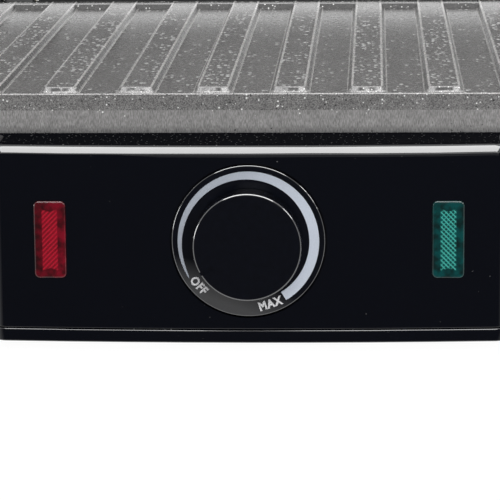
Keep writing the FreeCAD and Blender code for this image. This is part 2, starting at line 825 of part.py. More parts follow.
def make_thermostat():
    """A round switch body with a blind bore for its spindle and two blades at the rear."""
    seat = -panel_back + 1.2
    case = cylinder("thermostat_case", 17, 22, (0, seat, cell("dial_height")), "Y")
    neck = cylinder("thermostat_neck", 3.9, 1.2, (0, seat - 1.2, cell("dial_height")), "Y")
    blades = [box("thermostat_blade_%d" % number, 0.8, 8, 6.3, (x, seat + 22, cell("dial_height") - 3))
              for number, x in enumerate((-9, -3), start=1)]
    solid = fuse("thermostat_solid", [case, neck] + blades)
    bore = cylinder("thermostat_bore", cell("spindle_radius") + cell("running_gap"), 10,
                    (0, seat - 1.2, cell("dial_height")), "Y")
    return cut("thermostat", solid, [bore])


def make_dial_disc():
    """The fixed disc behind the knob, let into the panel and rounded at its edge."""
    body = new_body("dial_disc")
    sketch = new_sketch(body, "XZ", dial_floor, dial_centre)
    circle(sketch, 0, 0, cell("dial_radius"))
    circle(sketch, 0, 0, cell("spindle_radius") + 0.3)
    pad(body, sketch, dial_face - dial_floor)
    face = -dial_face.value
    round_edges(body, 0.5, lambda edge: abs(edge.BoundBox.YMin - face) < 0.01 and edge.Length > 100)
    return body


def make_knob():
    """A round knob with a narrow rounded edge, hollow behind, with a hub and a pointer groove."""
    body = new_body("knob")
    back = dial_face + cell("knob_gap")
    face = dial_face + cell("knob_height")
    sketch = new_sketch(body, "XZ", back, dial_centre)
    circle(sketch, 0, 0, cell("knob_radius"))
    pad(body, sketch, face - back)
    limit = -face.value
    round_edges(body, 0.7, lambda edge: abs(edge.BoundBox.YMin - limit) < 0.01 and edge.Length > 90)
    sketch = new_sketch(body, "XZ", back, dial_centre)
    circle(sketch, 0, 0, cell("knob_radius") - 1.8)
    circle(sketch, 0, 0, cell("spindle_radius") + 2.4)
    pocket(body, sketch, 7, reverse=True)
    sketch = new_sketch(body, "XZ", back, dial_centre)
    circle(sketch, 0, 0, cell("spindle_radius") + 0.03)
    pocket(body, sketch, 7, reverse=True)
    sketch = new_sketch(body, "XZ", face, dial_centre, size(-150))
    rectangle(sketch, cell("knob_radius") - 4.4, -0.6, cell("knob_radius") + 1, 0.6)
    pocket(body, sketch, 0.5)
    return body


def make_thermostat_spindle():
    start = -dial_face - cell("knob_gap") - 6.5
    end = -panel_back + 8.5
    rod = cylinder("spindle_rod", cell("spindle_radius"), end - start, (0, start, cell("dial_height")), "Y")
    return group("thermostat_spindle", [rod])


def make_thermostat_bulb():
    """The sensing bulb, against the underside of the lower plate."""
    level = plate_under - 3
    return group("thermostat_bulb", [cylinder("bulb_rod", 3, 60, (bulb_x - 60, bulb_y, level), "X")])


def make_capillary_tube():
    """The thin tube from the thermostat up through the deck to the bulb."""
    bulb_level = plate_under - 3
    start = 23.2 - panel_back
    low = cell("dial_height") + 4
    bend = size(5)
    corners = [(capillary_x, start, low), (capillary_x, bulb_y, low),
               (capillary_x, bulb_y, bulb_level), (bulb_x, bulb_y, bulb_level)]
    places = [FreeCAD.Vector(*[size(part).value for part in corner]) for corner in corners]
    path = bent_wire(places, bend.value)
    section = Part.Wire(Part.makeCircle(1.2, places[0], places[1] - places[0]))
    tube = doc.addObject("Part::Feature", "capillary_tube")
    tube.Label = "capillary_tube"
    tube.Shape = path.makePipeShell([section], True, False)
    return tube


def bent_wire(places, radius):
    """Straight runs through the places, joined by tangent arcs of one radius."""
    edges = []
    start = places[0]
    for before, corner, after in zip(places, places[1:], places[2:]):
        inward = (before - corner).normalize()
        outward = (after - corner).normalize()
        reach = radius / math.tan(inward.getAngle(outward) / 2)
        first = corner + inward * reach
        last = corner + outward * reach
        bisector = (inward + outward).normalize()
        centre = corner + bisector * math.hypot(reach, radius)
        edges.append(Part.LineSegment(start, first).toShape())
        edges.append(Part.Arc(first, centre - bisector * radius, last).toShape())
        start = last
    edges.append(Part.LineSegment(start, places[-1]).toShape())
    return Part.Wire(edges)


# Lamps

lamp_bow = cell("lamp_x") * cell("lamp_x") / (bow_radius * 2)
lens_face = front - lamp_bow + cell("lens_proud")


def make_lens(label, side):
    """A rectangular lens that stands out of the panel and is held by a flange behind it."""
    body = new_body(label)
    centre = (cell("lamp_x") * side, cell("lamp_height"))
    half_width = cell("lens_width") / 2
    half_height = cell("lens_height") / 2
    sketch = new_sketch(body, "XZ", panel_back, centre)
    rounded_rectangle(sketch, -half_width, -half_height, half_width, half_height, 1.6)
    pad(body, sketch, lens_face - panel_back)
    face = -lens_face.value
    round_edges(body, 0.6, lambda edge: abs(edge.BoundBox.YMin - face) < 0.01
                and abs(edge.BoundBox.YMax - face) < 0.01)
    sketch = new_sketch(body, "XZ", panel_back, centre)
    rounded_rectangle(sketch, -half_width - 1.5, -half_height - 1.5, half_width + 1.5, half_height + 1.5, 1)
    pad(body, sketch, 1.5, reverse=True)
    sketch = new_sketch(body, "XZ", panel_back - 1.5, centre)
    rounded_rectangle(sketch, 1.4 - half_width, 1.4 - half_height, half_width - 1.4, half_height - 1.4, 0.6)
    pocket(body, sketch, 4.6, reverse=True)
    return body


def make_lamp_holder(label, side):
    """The box behind a lens that carries its neon lamp."""
    body = new_body(label)
    centre = (cell("lamp_x") * side, cell("lamp_height"))
    half_width = cell("lens_width") / 2 + 1.5
    half_height = cell("lens_height") / 2 + 1.5
    level = panel_back - 1.5
    sketch = new_sketch(body, "XZ", level, centre)
    rounded_rectangle(sketch, -half_width, -half_height, half_width, half_height, 1)
    pad(body, sketch, 15, reverse=True)
    sketch = new_sketch(body, "XZ", level, centre)
    rectangle(sketch, 1.4 - half_width, 1.4 - half_height, half_width - 1.4, half_height - 1.4)
    pocket(body, sketch, 13.5)
    return body


def make_neon(label, side):
    """A small glow lamp on two leads, upright inside its holder."""
    x = cell("lamp_x") * side
    z = cell("lamp_height")
    y = 8 - panel_back
    parts = [cylinder(label + "_bulb", 2.9, 14, (x, y, z - 7))]
    for number, offset in enumerate((-4, 4), start=1):
        parts.append(cylinder("%s_lead_%d" % (label, number), 0.5, 7, (x, y, z + offset), "Y"))
    return fuse(label, parts)


# Wiring pieces inside the base

def make_terminal_block():
    block = box("terminal_body", 34, 16, 13, (80, 112, cover_floor))
    wells = [cylinder("terminal_well_%d" % number, 2.4, 10, (x, 120, cover_floor + 5))
             for number, x in enumerate((87, 97, 107), start=1)]
    mouths = [cylinder("terminal_mouth_%d" % number, 2, 18, (x, 111, cover_floor + 6), "Y")
              for number, x in enumerate((87, 97, 107), start=1)]
    return cut("terminal_block", block, wells + mouths)


def make_thermal_fuse():
    """A thermal fuse that lies against the underside of the pan."""
    level = deck - 12 - 2
    parts = [cylinder("fuse_case", 2, 13, (30, 40, level), "X"),
             cylinder("fuse_lead_1", 0.6, 9, (21, 40, level), "X"),
             cylinder("fuse_lead_2", 0.6, 9, (43, 40, level), "X")]
    return fuse("thermal_fuse", parts)


def make_cord_bush():
    """A bush with a nut inside the rear wall and a bore for the mains lead."""
    wall_inside = body_rear - wall
    tail = cylinder("bush_tail", 7, body_rear - wall_inside + 12, (gland_x, wall_inside - 12, gland_z), "Y")
    nut = cylinder("bush_nut", 10, 4, (gland_x, wall_inside - 4, gland_z), "Y")
    collar = cylinder("bush_collar", 10, 3.5, (gland_x, body_rear, gland_z), "Y")
    bore = cylinder("bush_bore", 3.6, 40, (gland_x, wall_inside - 20, gland_z), "Y")
    return cut("cord_bush", fuse("bush_solid", [tail, nut, collar]), [bore])


# Drip tray

def make_drip_tray():
    """An open tray behind a face that closes the slot in the side wall."""
    body = new_body("drip_tray")
    thickness = cell("tray_wall")
    half = cell("tray_width") / 2
    face = -body_side
    sketch = new_sketch(body, "XY", tray_low)
    rear_end = face + 2 + cell("tray_length")
    rounded_rectangle(sketch, face + 2, tray_y - half + 1, rear_end, tray_y + half - 1, 5)
    pad(body, sketch, cell("tray_height") - 1)
    sketch = new_sketch(body, "YZ", face)
    rounded_rectangle(sketch, tray_y - half, tray_low, tray_y + half, tray_low + cell("tray_height"), 2)
    pad(body, sketch, 3)
    sketch = new_sketch(body, "XY", tray_low + cell("tray_height") - 1)
    rounded_rectangle(sketch, face + 3 + thickness, tray_y - half + 1 + thickness,
                      rear_end - thickness, tray_y + half - 1 - thickness, 3.4)
    pocket(body, sketch, cell("tray_height") - 1 - thickness)
    sketch = new_sketch(body, "YZ", face)
    rounded_rectangle(sketch, tray_y - 14, tray_low + 5, tray_y + 14, tray_low + 14, 4)
    pocket(body, sketch, 1.8, reverse=True)
    return body


# Hinge

def arch(sketch, reach, low, centre):
    """An upright outline on the hinge's line, round at the top."""
    outline(sketch, [
        (hinge_y - reach, low), (hinge_y + reach, low), (hinge_y + reach, centre),
        (hinge_y, centre + reach, reach), (hinge_y - reach, centre, reach)])


def make_hinge_tower(label, side):
    """An upright ear screwed on the deck, with a slot that the hinge shaft can rise in."""
    body = new_body(label)
    low = tower_inside if side > 0 else -tower_outside
    sketch = new_sketch(body, "YZ", low)
    arch(sketch, cell("tower_radius"), deck, tower_arch)
    pad(body, sketch, cell("tower_width"))
    round_edges(body, 1, lambda edge: edge.BoundBox.XLength < 0.01 and edge.BoundBox.ZMax > deck.value + 1, "Chamfer")
    reach = turning_bore
    high = hinge_z + cell("hinge_lift")
    sketch = new_sketch(body, "YZ", low)
    outline(sketch, [
        (hinge_y, hinge_z - reach, reach), (hinge_y + reach, hinge_z, reach), (hinge_y + reach, high),
        (hinge_y, high + reach, reach), (hinge_y - reach, high, reach), (hinge_y - reach, hinge_z)])
    pocket(body, sketch, cell("tower_width"), reverse=True)
    sketch = new_sketch(body, "XY", deck)
    for y in tower_screw_rows:
        circle(sketch, tower_centre * side, y, 1.3)
    pocket(body, sketch, 6, reverse=True)
    return body


def make_hinge_cover():
    """An arched cover between the hinge lugs, over the shaft and its travel."""
    body = new_body("hinge_cover")
    reach = size(10.5)
    centre = hinge_z + 8.5
    end = lug_centre - cell("lug_width") / 2 - 2
    sketch = new_sketch(body, "YZ", -end)
    arch(sketch, reach, deck, centre)
    pad(body, sketch, end * 2)
    round_edges(body, 1, lambda edge: edge.BoundBox.XLength < 0.01 and edge.BoundBox.ZMin > deck.value + 1,
                "Chamfer")
    sketch = new_sketch(body, "YZ", -end)
    arch(sketch, reach - 2.4, deck, centre)
    pocket(body, sketch, end * 2, reverse=True)
    return body


def make_rod(label, y, z, length):
    """A round bar of the hinge shaft's diameter across the grill, chamfered at its ends."""
    body = new_body(label)
    sketch = new_sketch(body, "YZ", -length / 2)
    circle(sketch, y, z, cell("hinge_radius"))
    pad(body, sketch, length)
    round_edges(body, 0.5, lambda edge: edge.BoundBox.XLength < 0.01, "Chamfer")
    return body


def make_shaft_caps():
    """A cap pressed on each end of the hinge shaft, outside the tower."""
    caps = []
    inner = tower_outside + 0.4
    for side in (-1, 1):
        body = new_body("shaft_cap_%d" % (len(caps) + 1))
        sketch = new_sketch(body, "YZ", inner * side)
        circle(sketch, hinge_y, hinge_z, 7)
        pad(body, sketch, 4.4, reverse=side < 0)
        limit = (inner.value + 4.4) * side
        round_edges(body, 1.6, lambda edge: abs(edge.BoundBox.XMin - limit) < 0.01, "Chamfer")
        sketch = new_sketch(body, "YZ", inner * side)
        circle(sketch, hinge_y, hinge_z, cell("hinge_radius"))
        pocket(body, sketch, 2.8, reverse=side > 0)
        caps.append(body)
    return group("shaft_caps", caps)


def make_hinge_lug(label, side):
    """A cast lug from the lid's rear wall to the shaft; its heel rests on the deck when the lid is open."""
    body = new_body(label)
    eye = cell("lug_radius")
    lean = degrees(cell("stop_slope"))
    stop_y = hinge_y + cell("stop_reach") * lean[0]
    stop_z = hinge_z + cell("stop_reach") * lean[1]
    edge_place = degrees(size(-35))
    sketch = new_sketch(body, "YZ", lug_centre * side - cell("lug_width") / 2)
    outline(sketch, [
        (hinge_y - eye, hinge_z, -eye), (lid_rear, lug_low), (lid_rear, lug_low + 16),
        (lid_rear + 5, lug_low + 16), (stop_y - lean[1] * 6, stop_z + lean[0] * 6), (stop_y, stop_z),
        (hinge_y + eye * edge_place[0], hinge_z + eye * edge_place[1])])
    pad(body, sketch, cell("lug_width"))
    wall_plane = lid_rear.value
    round_edges(body, 1.2, lambda edge: edge.BoundBox.XLength < 0.01 and edge.BoundBox.YMax > wall_plane + 1)
    sketch = new_sketch(body, "YZ", lug_centre * side - cell("lug_width") / 2)
    circle(sketch, hinge_y, hinge_z, bush_radius)
    pocket(body, sketch, cell("lug_width"), reverse=True)
    sketch = new_sketch(body, "XZ", -lid_rear)
    for z in lug_screw_levels:
        circle(sketch, lug_centre * side, z, 1.55)
    pocket(body, sketch, 7)
    return body


def degrees(angle):
    """The cosine and the sine of an angle in degrees."""
    radians = math.radians(angle.value)
    return (Size(math.cos(radians), "cos(%s * 1 deg)" % angle.text),
            Size(math.sin(radians), "sin(%s * 1 deg)" % angle.text))


def make_hinge_bushes():
    """A plain bush in the eye of each lug."""
    bushes = []
    for side in (-1, 1):
        name = "hinge_bush_%d" % (len(bushes) + 1)
        place = (lug_centre * side - cell("lug_width") / 2, hinge_y, hinge_z)
        sleeve = cylinder(name + "_sleeve", bush_radius, cell("lug_width"), place, "X")
        bore = cylinder(name + "_bore", turning_bore, cell("lug_width"), place, "X")
        bushes.append(cut(name, sleeve, [bore]))
    return group("hinge_bushes", bushes)


# Lid

def make_lid_housing():
    body = new_body("lid_housing")
    sketch = new_sketch(body, "XY", lid_low)
    rounded_rectangle(sketch, -lid_side, lid_front, lid_side, lid_rear, cell("body_corner"))
    pad(body, sketch, cell("lid_height"))
    round_edges(body, cell("lid_shoulder"), level_edges(lid_top))
    hollow(body, wall, lid_low)
    add_lid_bosses(body)
    add_lid_holes(body)
    return body


frame_top = lid_low + 3
lid_screw_places = [(x, y) for x in (-129, 129) for y in (-50, 55)]
cover_side = size(118)
cover_front = size(-96)
cover_rear = size(106)
bracket_x = cell("grip_length") / 2 + cell("bracket_width") / 2
bracket_low = lid_low + 4.2
grip_y = lid_front - cell("grip_reach")
grip_z = lid_low + 18.2
handle_screw_levels = (bracket_low + 4.5, bracket_low + 11.8)


def add_lid_bosses(body):
    """Bosses for the lid's screws."""
    sketch = new_sketch(body, "XY", frame_top)
    for x, y in lid_screw_places:
        circle(sketch, x, y, boss_radius)
    pad(body, sketch, lid_top - 2 - frame_top)
    sketch = new_sketch(body, "XY", frame_top)
    for x, y in lid_screw_places:
        circle(sketch, x, y, 1.55)
    pocket(body, sketch, 14, reverse=True)


def add_lid_holes(body):
    """The recess of the steel cover, and the holes of the handle's and the hinge lugs' screws."""
    sketch = new_sketch(body, "XY", lid_top)
    rounded_rectangle(sketch, -cover_side, cover_front, cover_side, cover_rear, 22)
    pocket(body, sketch, 0.8)
    sketch = new_sketch(body, "XZ", -lid_front)
    for x in (-bracket_x, bracket_x):
        for z in handle_screw_levels:
            circle(sketch, x, z, 2)
    pocket(body, sketch, wall + 1)
    sketch = new_sketch(body, "XZ", -lid_rear)
    for x in (-lug_centre, lug_centre):
        for z in lug_screw_levels:
            circle(sketch, x, z, 2)
    pocket(body, sketch, wall + 1, reverse=True)


def make_lid_frame():
    """The inner frame that closes the lid's shell and carries the upper plate."""
    body = new_body("lid_frame")
    gap = wall + 0.2
    sketch = new_sketch(body, "XY", lid_low)
    rounded_rectangle(sketch, gap - lid_side, lid_front + gap, lid_side - gap, lid_rear - gap,
                      cell("body_corner") - gap)
    pad(body, sketch, 3)
    sketch = new_sketch(body, "XY", frame_top)
    rounded_rectangle(sketch, -opening_x, -opening_y, opening_x, opening_y, 8)
    pocket(body, sketch, 4)
    sketch = new_sketch(body, "XY", frame_top)
    for x in (-stud_x, stud_x):
        for y in stud_rows:
            circle(sketch, x, y, 2.2)
    for x, y in lid_screw_places:
        circle(sketch, x, y, 1.7)
    pocket(body, sketch, 4)
    return body


def make_lid_cover():
    """A sheet of brushed steel set into the top of the lid."""
    body = new_body("lid_cover")
    sketch = new_sketch(body, "XY", lid_top - 0.8)
    gap = 0.2
    rounded_rectangle(sketch, gap - cover_side, cover_front + gap, cover_side - gap, cover_rear - gap, 21.8)
    pad(body, sketch, 1.4)
    round_edges(body, 0.5, level_edges(lid_top + 0.6))
    return body


def make_thermal_cutout():
    """A disc cut-out that lies on the back of the upper pan."""
    low = mating_level * 2 - deck + 12
    case = cylinder("cutout_case", 8, 7, (20, 20, low))
    flange = cylinder("cutout_flange", 11, 1, (20, 20, low))
    return fuse("upper_thermal_cutout", [case, flange])


# Handle

def make_handle_bracket(label, side):
    """A moulded bracket from the lid's front wall to the end of the grip."""
    body = new_body(label)
    reach = cell("grip_radius")
    half = cell("bracket_width") / 2
    sketch = new_sketch(body, "YZ", bracket_x * side - half)
    outline(sketch, [
        (lid_front, bracket_low), (lid_front, bracket_low + 16), (grip_y, grip_z + reach),
        (grip_y - reach, grip_z, reach), (grip_y, grip_z - reach, reach)])
    pad(body, sketch, cell("bracket_width"))
    wall_plane = lid_front.value
    round_edges(body, 1.8, lambda edge: edge.BoundBox.XLength < 0.01 and edge.BoundBox.YMin < wall_plane - 2)
    inner = bracket_x - half
    sketch = new_sketch(body, "YZ", inner * side)
    circle(sketch, grip_y, grip_z, 4.05)
    pocket(body, sketch, 10, reverse=side > 0)
    sketch = new_sketch(body, "XZ", -lid_front)
    for z in handle_screw_levels:
        circle(sketch, bracket_x * side, z, 1.55)
    pocket(body, sketch, 13, reverse=True)
    return body


def make_handle_grip():
    """A round grip, a little thicker in the middle."""
    body = new_body("handle_grip")
    half = cell("grip_length") / 2
    thick = cell("grip_radius")
    thin = thick - 1
    belly = (half * half + 1) / 2
    sketch = new_sketch(body, "XY", grip_z, (0, grip_y))
    outline(sketch, [(-half, 4.1), (half, 4.1), (half, thin), (0, thick, belly), (-half, thin, belly)])
    turn(body, "Revolution", sketch, "H_Axis")
    return body


def build_nodes():
    """Every piece of the grill; at the end the lid is turned up and all is moved into the frame."""
    base = [
        make_base_housing(), make_bottom_cover(), make_rubber_feet(), make_plate("lower_plate", True),
        make_element("lower_element"), make_element_pins("lower_element_pins"),
        make_reflector("lower_reflector"), make_element_clips("lower_element_clips"),
        make_thermostat_bracket(), make_thermostat(), make_thermostat_bulb(), make_capillary_tube(),
        make_dial_disc(), make_terminal_block(), make_thermal_fuse(), make_cord_bush(), make_drip_tray(),
        make_knob(), make_thermostat_spindle(), make_hinge_cover(),
        make_hinge_tower("left_hinge_tower", -1), make_hinge_tower("right_hinge_tower", 1),
        make_rod("hinge_shaft", hinge_y, hinge_z, tower_outside * 2 + 6), make_shaft_caps()]
    for name, side in (("power", -1), ("ready", 1)):
        base.append(make_lens(name + "_lamp_lens", side))
        base.append(make_lamp_holder(name + "_lamp_holder", side))
        base.append(make_neon(name + "_neon", side))
    lid = [make_lid_housing(), make_lid_frame(), make_lid_cover(), make_thermal_cutout(),
           make_handle_bracket("left_handle_bracket", -1), make_handle_bracket("right_handle_bracket", 1),
           make_handle_grip(), make_rod("handle_rod", grip_y, grip_z, cell("grip_length") + 18),
           make_hinge_lug("left_hinge_lug", -1), make_hinge_lug("right_hinge_lug", 1), make_hinge_bushes()]
    over = [make_plate("upper_plate", False), make_element("upper_element"),
            make_element_pins("upper_element_pins"), make_reflector("upper_reflector"),
            make_element_clips("upper_element_clips")]
    doc.recompute()
    for piece in base:
        piece.Placement = in_frame
    for piece in lid:
        piece.Placement = in_frame.multiply(opened)
    for piece in over:
        piece.Placement = in_frame.multiply(opened).multiply(turned_over)
    doc.recompute()
    return base + lid + over


def check_and_write(nodes):
    """Stops on any failed object or bad shape, then writes one file for each node."""
    for item in doc.Objects:
        if "Invalid" in item.State or "Error" in item.State:
            raise RuntimeError("%s failed: %s" % (item.Label, item.State))
    for node in nodes:
        if node.Shape.isNull() or not node.Shape.isValid() or not node.Shape.Solids:
            raise RuntimeError("%s has a bad shape" % node.Label)
    for node in nodes:
        node.Shape.exportStep("parts/%s.step" % node.Label)
        print("%-24s %2d solids %10.1f mm3" % (node.Label, len(node.Shape.Solids), node.Shape.Volume))


check_and_write(build_nodes())
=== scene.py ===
"""Dresses the contact grill: smooth skins over its solids, printed dial, screws, finishes and a stage."""

import json
import math

import bpy
from bpy.props import FloatProperty, FloatVectorProperty, PointerProperty
from mathutils import Matrix, Vector

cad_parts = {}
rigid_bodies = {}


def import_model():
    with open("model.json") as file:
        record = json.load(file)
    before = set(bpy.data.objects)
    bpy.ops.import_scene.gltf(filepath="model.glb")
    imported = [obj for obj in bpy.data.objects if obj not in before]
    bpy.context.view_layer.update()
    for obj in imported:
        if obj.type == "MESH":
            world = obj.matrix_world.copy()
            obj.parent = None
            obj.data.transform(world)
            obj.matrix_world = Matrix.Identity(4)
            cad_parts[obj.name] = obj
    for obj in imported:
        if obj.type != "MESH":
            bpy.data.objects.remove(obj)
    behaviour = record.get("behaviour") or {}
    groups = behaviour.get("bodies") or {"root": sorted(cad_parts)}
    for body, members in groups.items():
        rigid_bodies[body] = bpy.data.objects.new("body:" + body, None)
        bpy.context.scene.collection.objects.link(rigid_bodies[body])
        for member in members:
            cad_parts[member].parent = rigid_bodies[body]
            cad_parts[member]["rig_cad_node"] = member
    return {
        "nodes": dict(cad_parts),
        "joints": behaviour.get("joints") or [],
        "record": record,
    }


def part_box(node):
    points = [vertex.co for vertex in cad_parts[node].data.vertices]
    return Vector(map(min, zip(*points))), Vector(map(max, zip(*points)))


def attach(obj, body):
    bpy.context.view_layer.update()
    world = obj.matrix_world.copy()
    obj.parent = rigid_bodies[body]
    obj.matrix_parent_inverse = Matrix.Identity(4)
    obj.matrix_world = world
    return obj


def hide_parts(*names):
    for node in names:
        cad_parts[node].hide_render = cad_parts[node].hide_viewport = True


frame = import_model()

bl_info = {
    "name": "Contact grill",
    "version": (1, 0, 0),
    "blender": (4, 5, 0),
    "location": "3D View > Sidebar > Grill",
    "description": "Skins, prints, screws, finishes and studio for a contact grill",
    "category": "Add Mesh",
}

NODES = frame["nodes"]
JOINTS = {joint["name"]: joint for joint in frame["joints"]}
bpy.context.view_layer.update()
MM = 0.001


# Sizes and colours that a user would change

def length(name, description, millimetres):
    return FloatProperty(name=name, description=description, default=millimetres * MM, unit="LENGTH",
                         precision=5)


def colour(name, description, red, green, blue):
    return FloatVectorProperty(name=name, description=description, subtype="COLOR", size=3, min=0, max=1,
                               default=(red, green, blue))


class GrillSizes(bpy.types.PropertyGroup):
    wedge_radius: length("Wedge radius", "Outer radius of the printed heat scale", 21.9)
    wedge_width: length("Wedge width", "Width of the heat scale at its broad end", 3.03)
    letter_height: length("Letter height", "Height of the capitals on the dial", 2.67)
    letter_radius: length("Letter radius", "Dial centre to the middle of a word", 20.9)
    print_thickness: length("Print thickness", "How far the print stands out of the dial", 0.05)
    rib_pitch: length("Rib pitch", "From the middle of a rib to the next", 24.4)
    rib_edge: length("Rib edge", "From the middle of a rib to its top edge", 4.8)
    rib_foot: length("Rib foot", "From the middle of a rib to its foot", 6.25)
    rib_rise: length("Rib rise", "Height of a rib over the plate", 1.8)
    screw_radius: length("Screw head radius", "Radius of a pan head", 3.2)
    screw_height: length("Screw head height", "Height of a pan head", 1.6)
    screw_cross: length("Screw cross", "Length of the cross recess", 3.4)
    hatch_width: length("Hatch width", "Width of the ribbed strip behind a lens", 4.8)
    hatch_height: length("Hatch height", "Height of the ribbed strip behind a lens", 19.2)
    hatch_pitch: length("Hatch pitch", "Upright distance from rib to rib behind a lens", 1.5)


class GrillColours(bpy.types.PropertyGroup):
    housing: colour("Housing", "Gloss black moulding", 0.0023, 0.0029, 0.0058)
    satin: colour("Satin black", "Matte mouldings, handle and tray", 0.012, 0.012, 0.013)
    coating: colour("Coating", "Ground of the stone-effect coating", 0.18, 0.176, 0.174)
    speck_light: colour("Light specks", "Pale specks in the coating", 0.95, 0.95, 0.94)
    speck_dark: colour("Dark specks", "Dark specks in the coating", 0.012, 0.012, 0.012)
    wedge: colour("Heat scale", "Pale print of the heat scale", 0.585, 0.635, 0.726)
    letters: colour("Letters", "Print of the words on the dial", 0.8, 0.8, 0.82)
    red_bright: colour("Red ribs", "Lit ribs behind the red lens", 0.4, 0.008, 0.024)
    red_deep: colour("Red lens", "Body of the red lens", 0.09, 0.001, 0.006)
    green_bright: colour("Green ribs", "Lit ribs behind the green lens", 0.06, 0.44, 0.37)
    green_deep: colour("Green lens", "Body of the green lens", 0.0, 0.034, 0.034)
    steel: colour("Steel", "Brushed and zinc plated steel", 0.58, 0.58, 0.57)


class GrillStage(bpy.types.PropertyGroup):
    camera_place: FloatVectorProperty(name="Camera place", description="Where the camera stands", size=3,
                                      subtype="XYZ", unit="LENGTH", default=(0.03902, -1.05116, 0.20669))
    camera_yaw: FloatProperty(name="Yaw", description="How far the camera turns to the left", unit="ROTATION",
                              default=math.radians(2.5782))
    camera_pitch: FloatProperty(name="Pitch", description="How far the camera looks down", unit="ROTATION",
                                default=math.radians(11.4195))
    camera_roll: FloatProperty(name="Roll", description="How far the camera leans", unit="ROTATION",
                               default=math.radians(-0.5099))
    focal: FloatProperty(name="Focal length", description="Focal length in pixels of a 500 pixel frame",
                         default=2825.6)
    floor_size: FloatProperty(name="Floor size", description="Side of the floor", unit="LENGTH", default=8)
    softbox_radiance: FloatProperty(name="Softboxes", description="Brightness of the softboxes", default=7)
    gap_radiance: FloatProperty(name="Gap", description="Brightness of the gap behind the plate", default=1.1)
    front_watts: FloatProperty(name="Front light", description="Power of the light in front", default=22)
    world_strength: FloatProperty(name="World", description="Strength of the surrounding light", default=0.3)


def sizes():
    return bpy.context.scene.grill_sizes


def colours():
    return bpy.context.scene.grill_colours


def rgba(name):
    return (*getattr(colours(), name), 1)


# Selecting and shaping pieces

def alone(piece):
    """Deselects everything, then selects one piece and makes it active."""
    bpy.ops.object.select_all(action="DESELECT")
    piece.select_set(True)
    bpy.context.view_layer.objects.active = piece


def named(name):
    """Gives the object that was just added its name."""
    piece = bpy.context.active_object
    piece.name = name
    piece.data.name = name
    return piece


def edit(piece, mode="FACE"):
    alone(piece)
    bpy.ops.object.mode_set(mode="EDIT")
    bpy.ops.mesh.select_mode(type=mode)


def leave_edit():
    bpy.ops.object.mode_set(mode="OBJECT")


def pick_faces(piece, test):
    """In edit mode, selects the faces whose centre and normal pass a test, and no others."""
    bpy.ops.mesh.select_all(action="DESELECT")
    leave_edit()
    for face in piece.data.polygons:
        face.select = test(face.center, face.normal)
    bpy.ops.object.mode_set(mode="EDIT")


def settle(piece):
    """Puts the piece's place and turn into its mesh."""
    alone(piece)
    bpy.ops.object.transform_apply(location=True, rotation=True, scale=True)


def apply_modifier(piece, kind, **settings):
    alone(piece)
    modifier = piece.modifiers.new(kind.title(), kind)
    for name, value in settings.items():
        setattr(modifier, name, value)
    bpy.ops.object.modifier_apply(modifier=modifier.name)


def smooth(piece, angle):
    """Shades the piece smooth up to an angle, with broad faces kept flat."""
    alone(piece)
    bpy.ops.object.shade_smooth_by_angle(angle=math.radians(angle))
    apply_modifier(piece, "WEIGHTED_NORMAL", keep_sharp=True, weight=80)


def copy_piece(piece, name):
    twin = piece.copy()
    twin.data = piece.data.copy()
    twin.name = name
    twin.data.name = name
    bpy.context.scene.collection.objects.link(twin)
    return twin


def body_of(node):
    bodies = frame["record"]["behaviour"]["bodies"]
    return [body for body, members in bodies.items() if node in members][0]


def slot_of(node):
    parts = frame["record"]["subparts"]
    return [part["material_slot"] for part in parts if part["node"] == node][0]


def finish_piece(piece, body, slot, *materials):
    """Gives a new piece its materials and its body; the slot argument is not used."""
    piece.data.materials.clear()
    for material in materials:
        piece.data.materials.append(material)
    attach(piece, body)


def skin(node, material, angle=50):
    """A merged copy of a CAD node with smooth shading, which then stands for the node."""
    piece = copy_piece(NODES[node], node + "_skin")
    del piece["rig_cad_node"]
    piece.parent = None
    edit(piece)
    bpy.ops.mesh.select_all(action="SELECT")
    bpy.ops.mesh.remove_doubles(threshold=0.000002)
    bpy.ops.mesh.customdata_custom_splitnormals_clear()
    leave_edit()
    smooth(piece, angle)
    finish_piece(piece, body_of(node), slot_of(node), material)
    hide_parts(node)
    return piece


def paint(node, material):
    """Gives a CAD node that stays in view a better material."""
    node_object = NODES[node]
    node_object.data.materials.clear()
    node_object.data.materials.append(material)


# Building shader trees

def put(tree, kind, feeds=None, **settings):
    """Adds a node. Feeds gives its inputs, each a socket to link or a value to set."""
    node = tree.nodes.new(kind)
    for name, value in settings.items():
        setattr(node, name, value)
    for name, value in (feeds or {}).items():
        if isinstance(value, bpy.types.NodeSocket):
            tree.links.new(value, node.inputs[name])
        else:
            node.inputs[name].default_value = value
    return node


def calculate(tree, operation, *values, clamp=False):
    feeds = dict(enumerate(values))
    return put(tree, "ShaderNodeMath", feeds, operation=operation, use_clamp=clamp).outputs[0]


def mix_colours(tree, factor, first, second, blend="MIX"):
    feeds = {0: factor, 6: first, 7: second}
    return put(tree, "ShaderNodeMix", feeds, data_type="RGBA", blend_type=blend).outputs[2]


def ramp(tree, value, low, high, start=0.0, end=1.0):
    """Maps a value from low..high to start..end, and holds it there."""
    feeds = {"Value": value, "From Min": low, "From Max": high, "To Min": start, "To Max": end}
    return put(tree, "ShaderNodeMapRange", feeds).outputs["Result"]


def noise(tree, place, scale, detail=2.0):
    return put(tree, "ShaderNodeTexNoise", {"Vector": place, "Scale": scale, "Detail": detail}).outputs["Fac"]


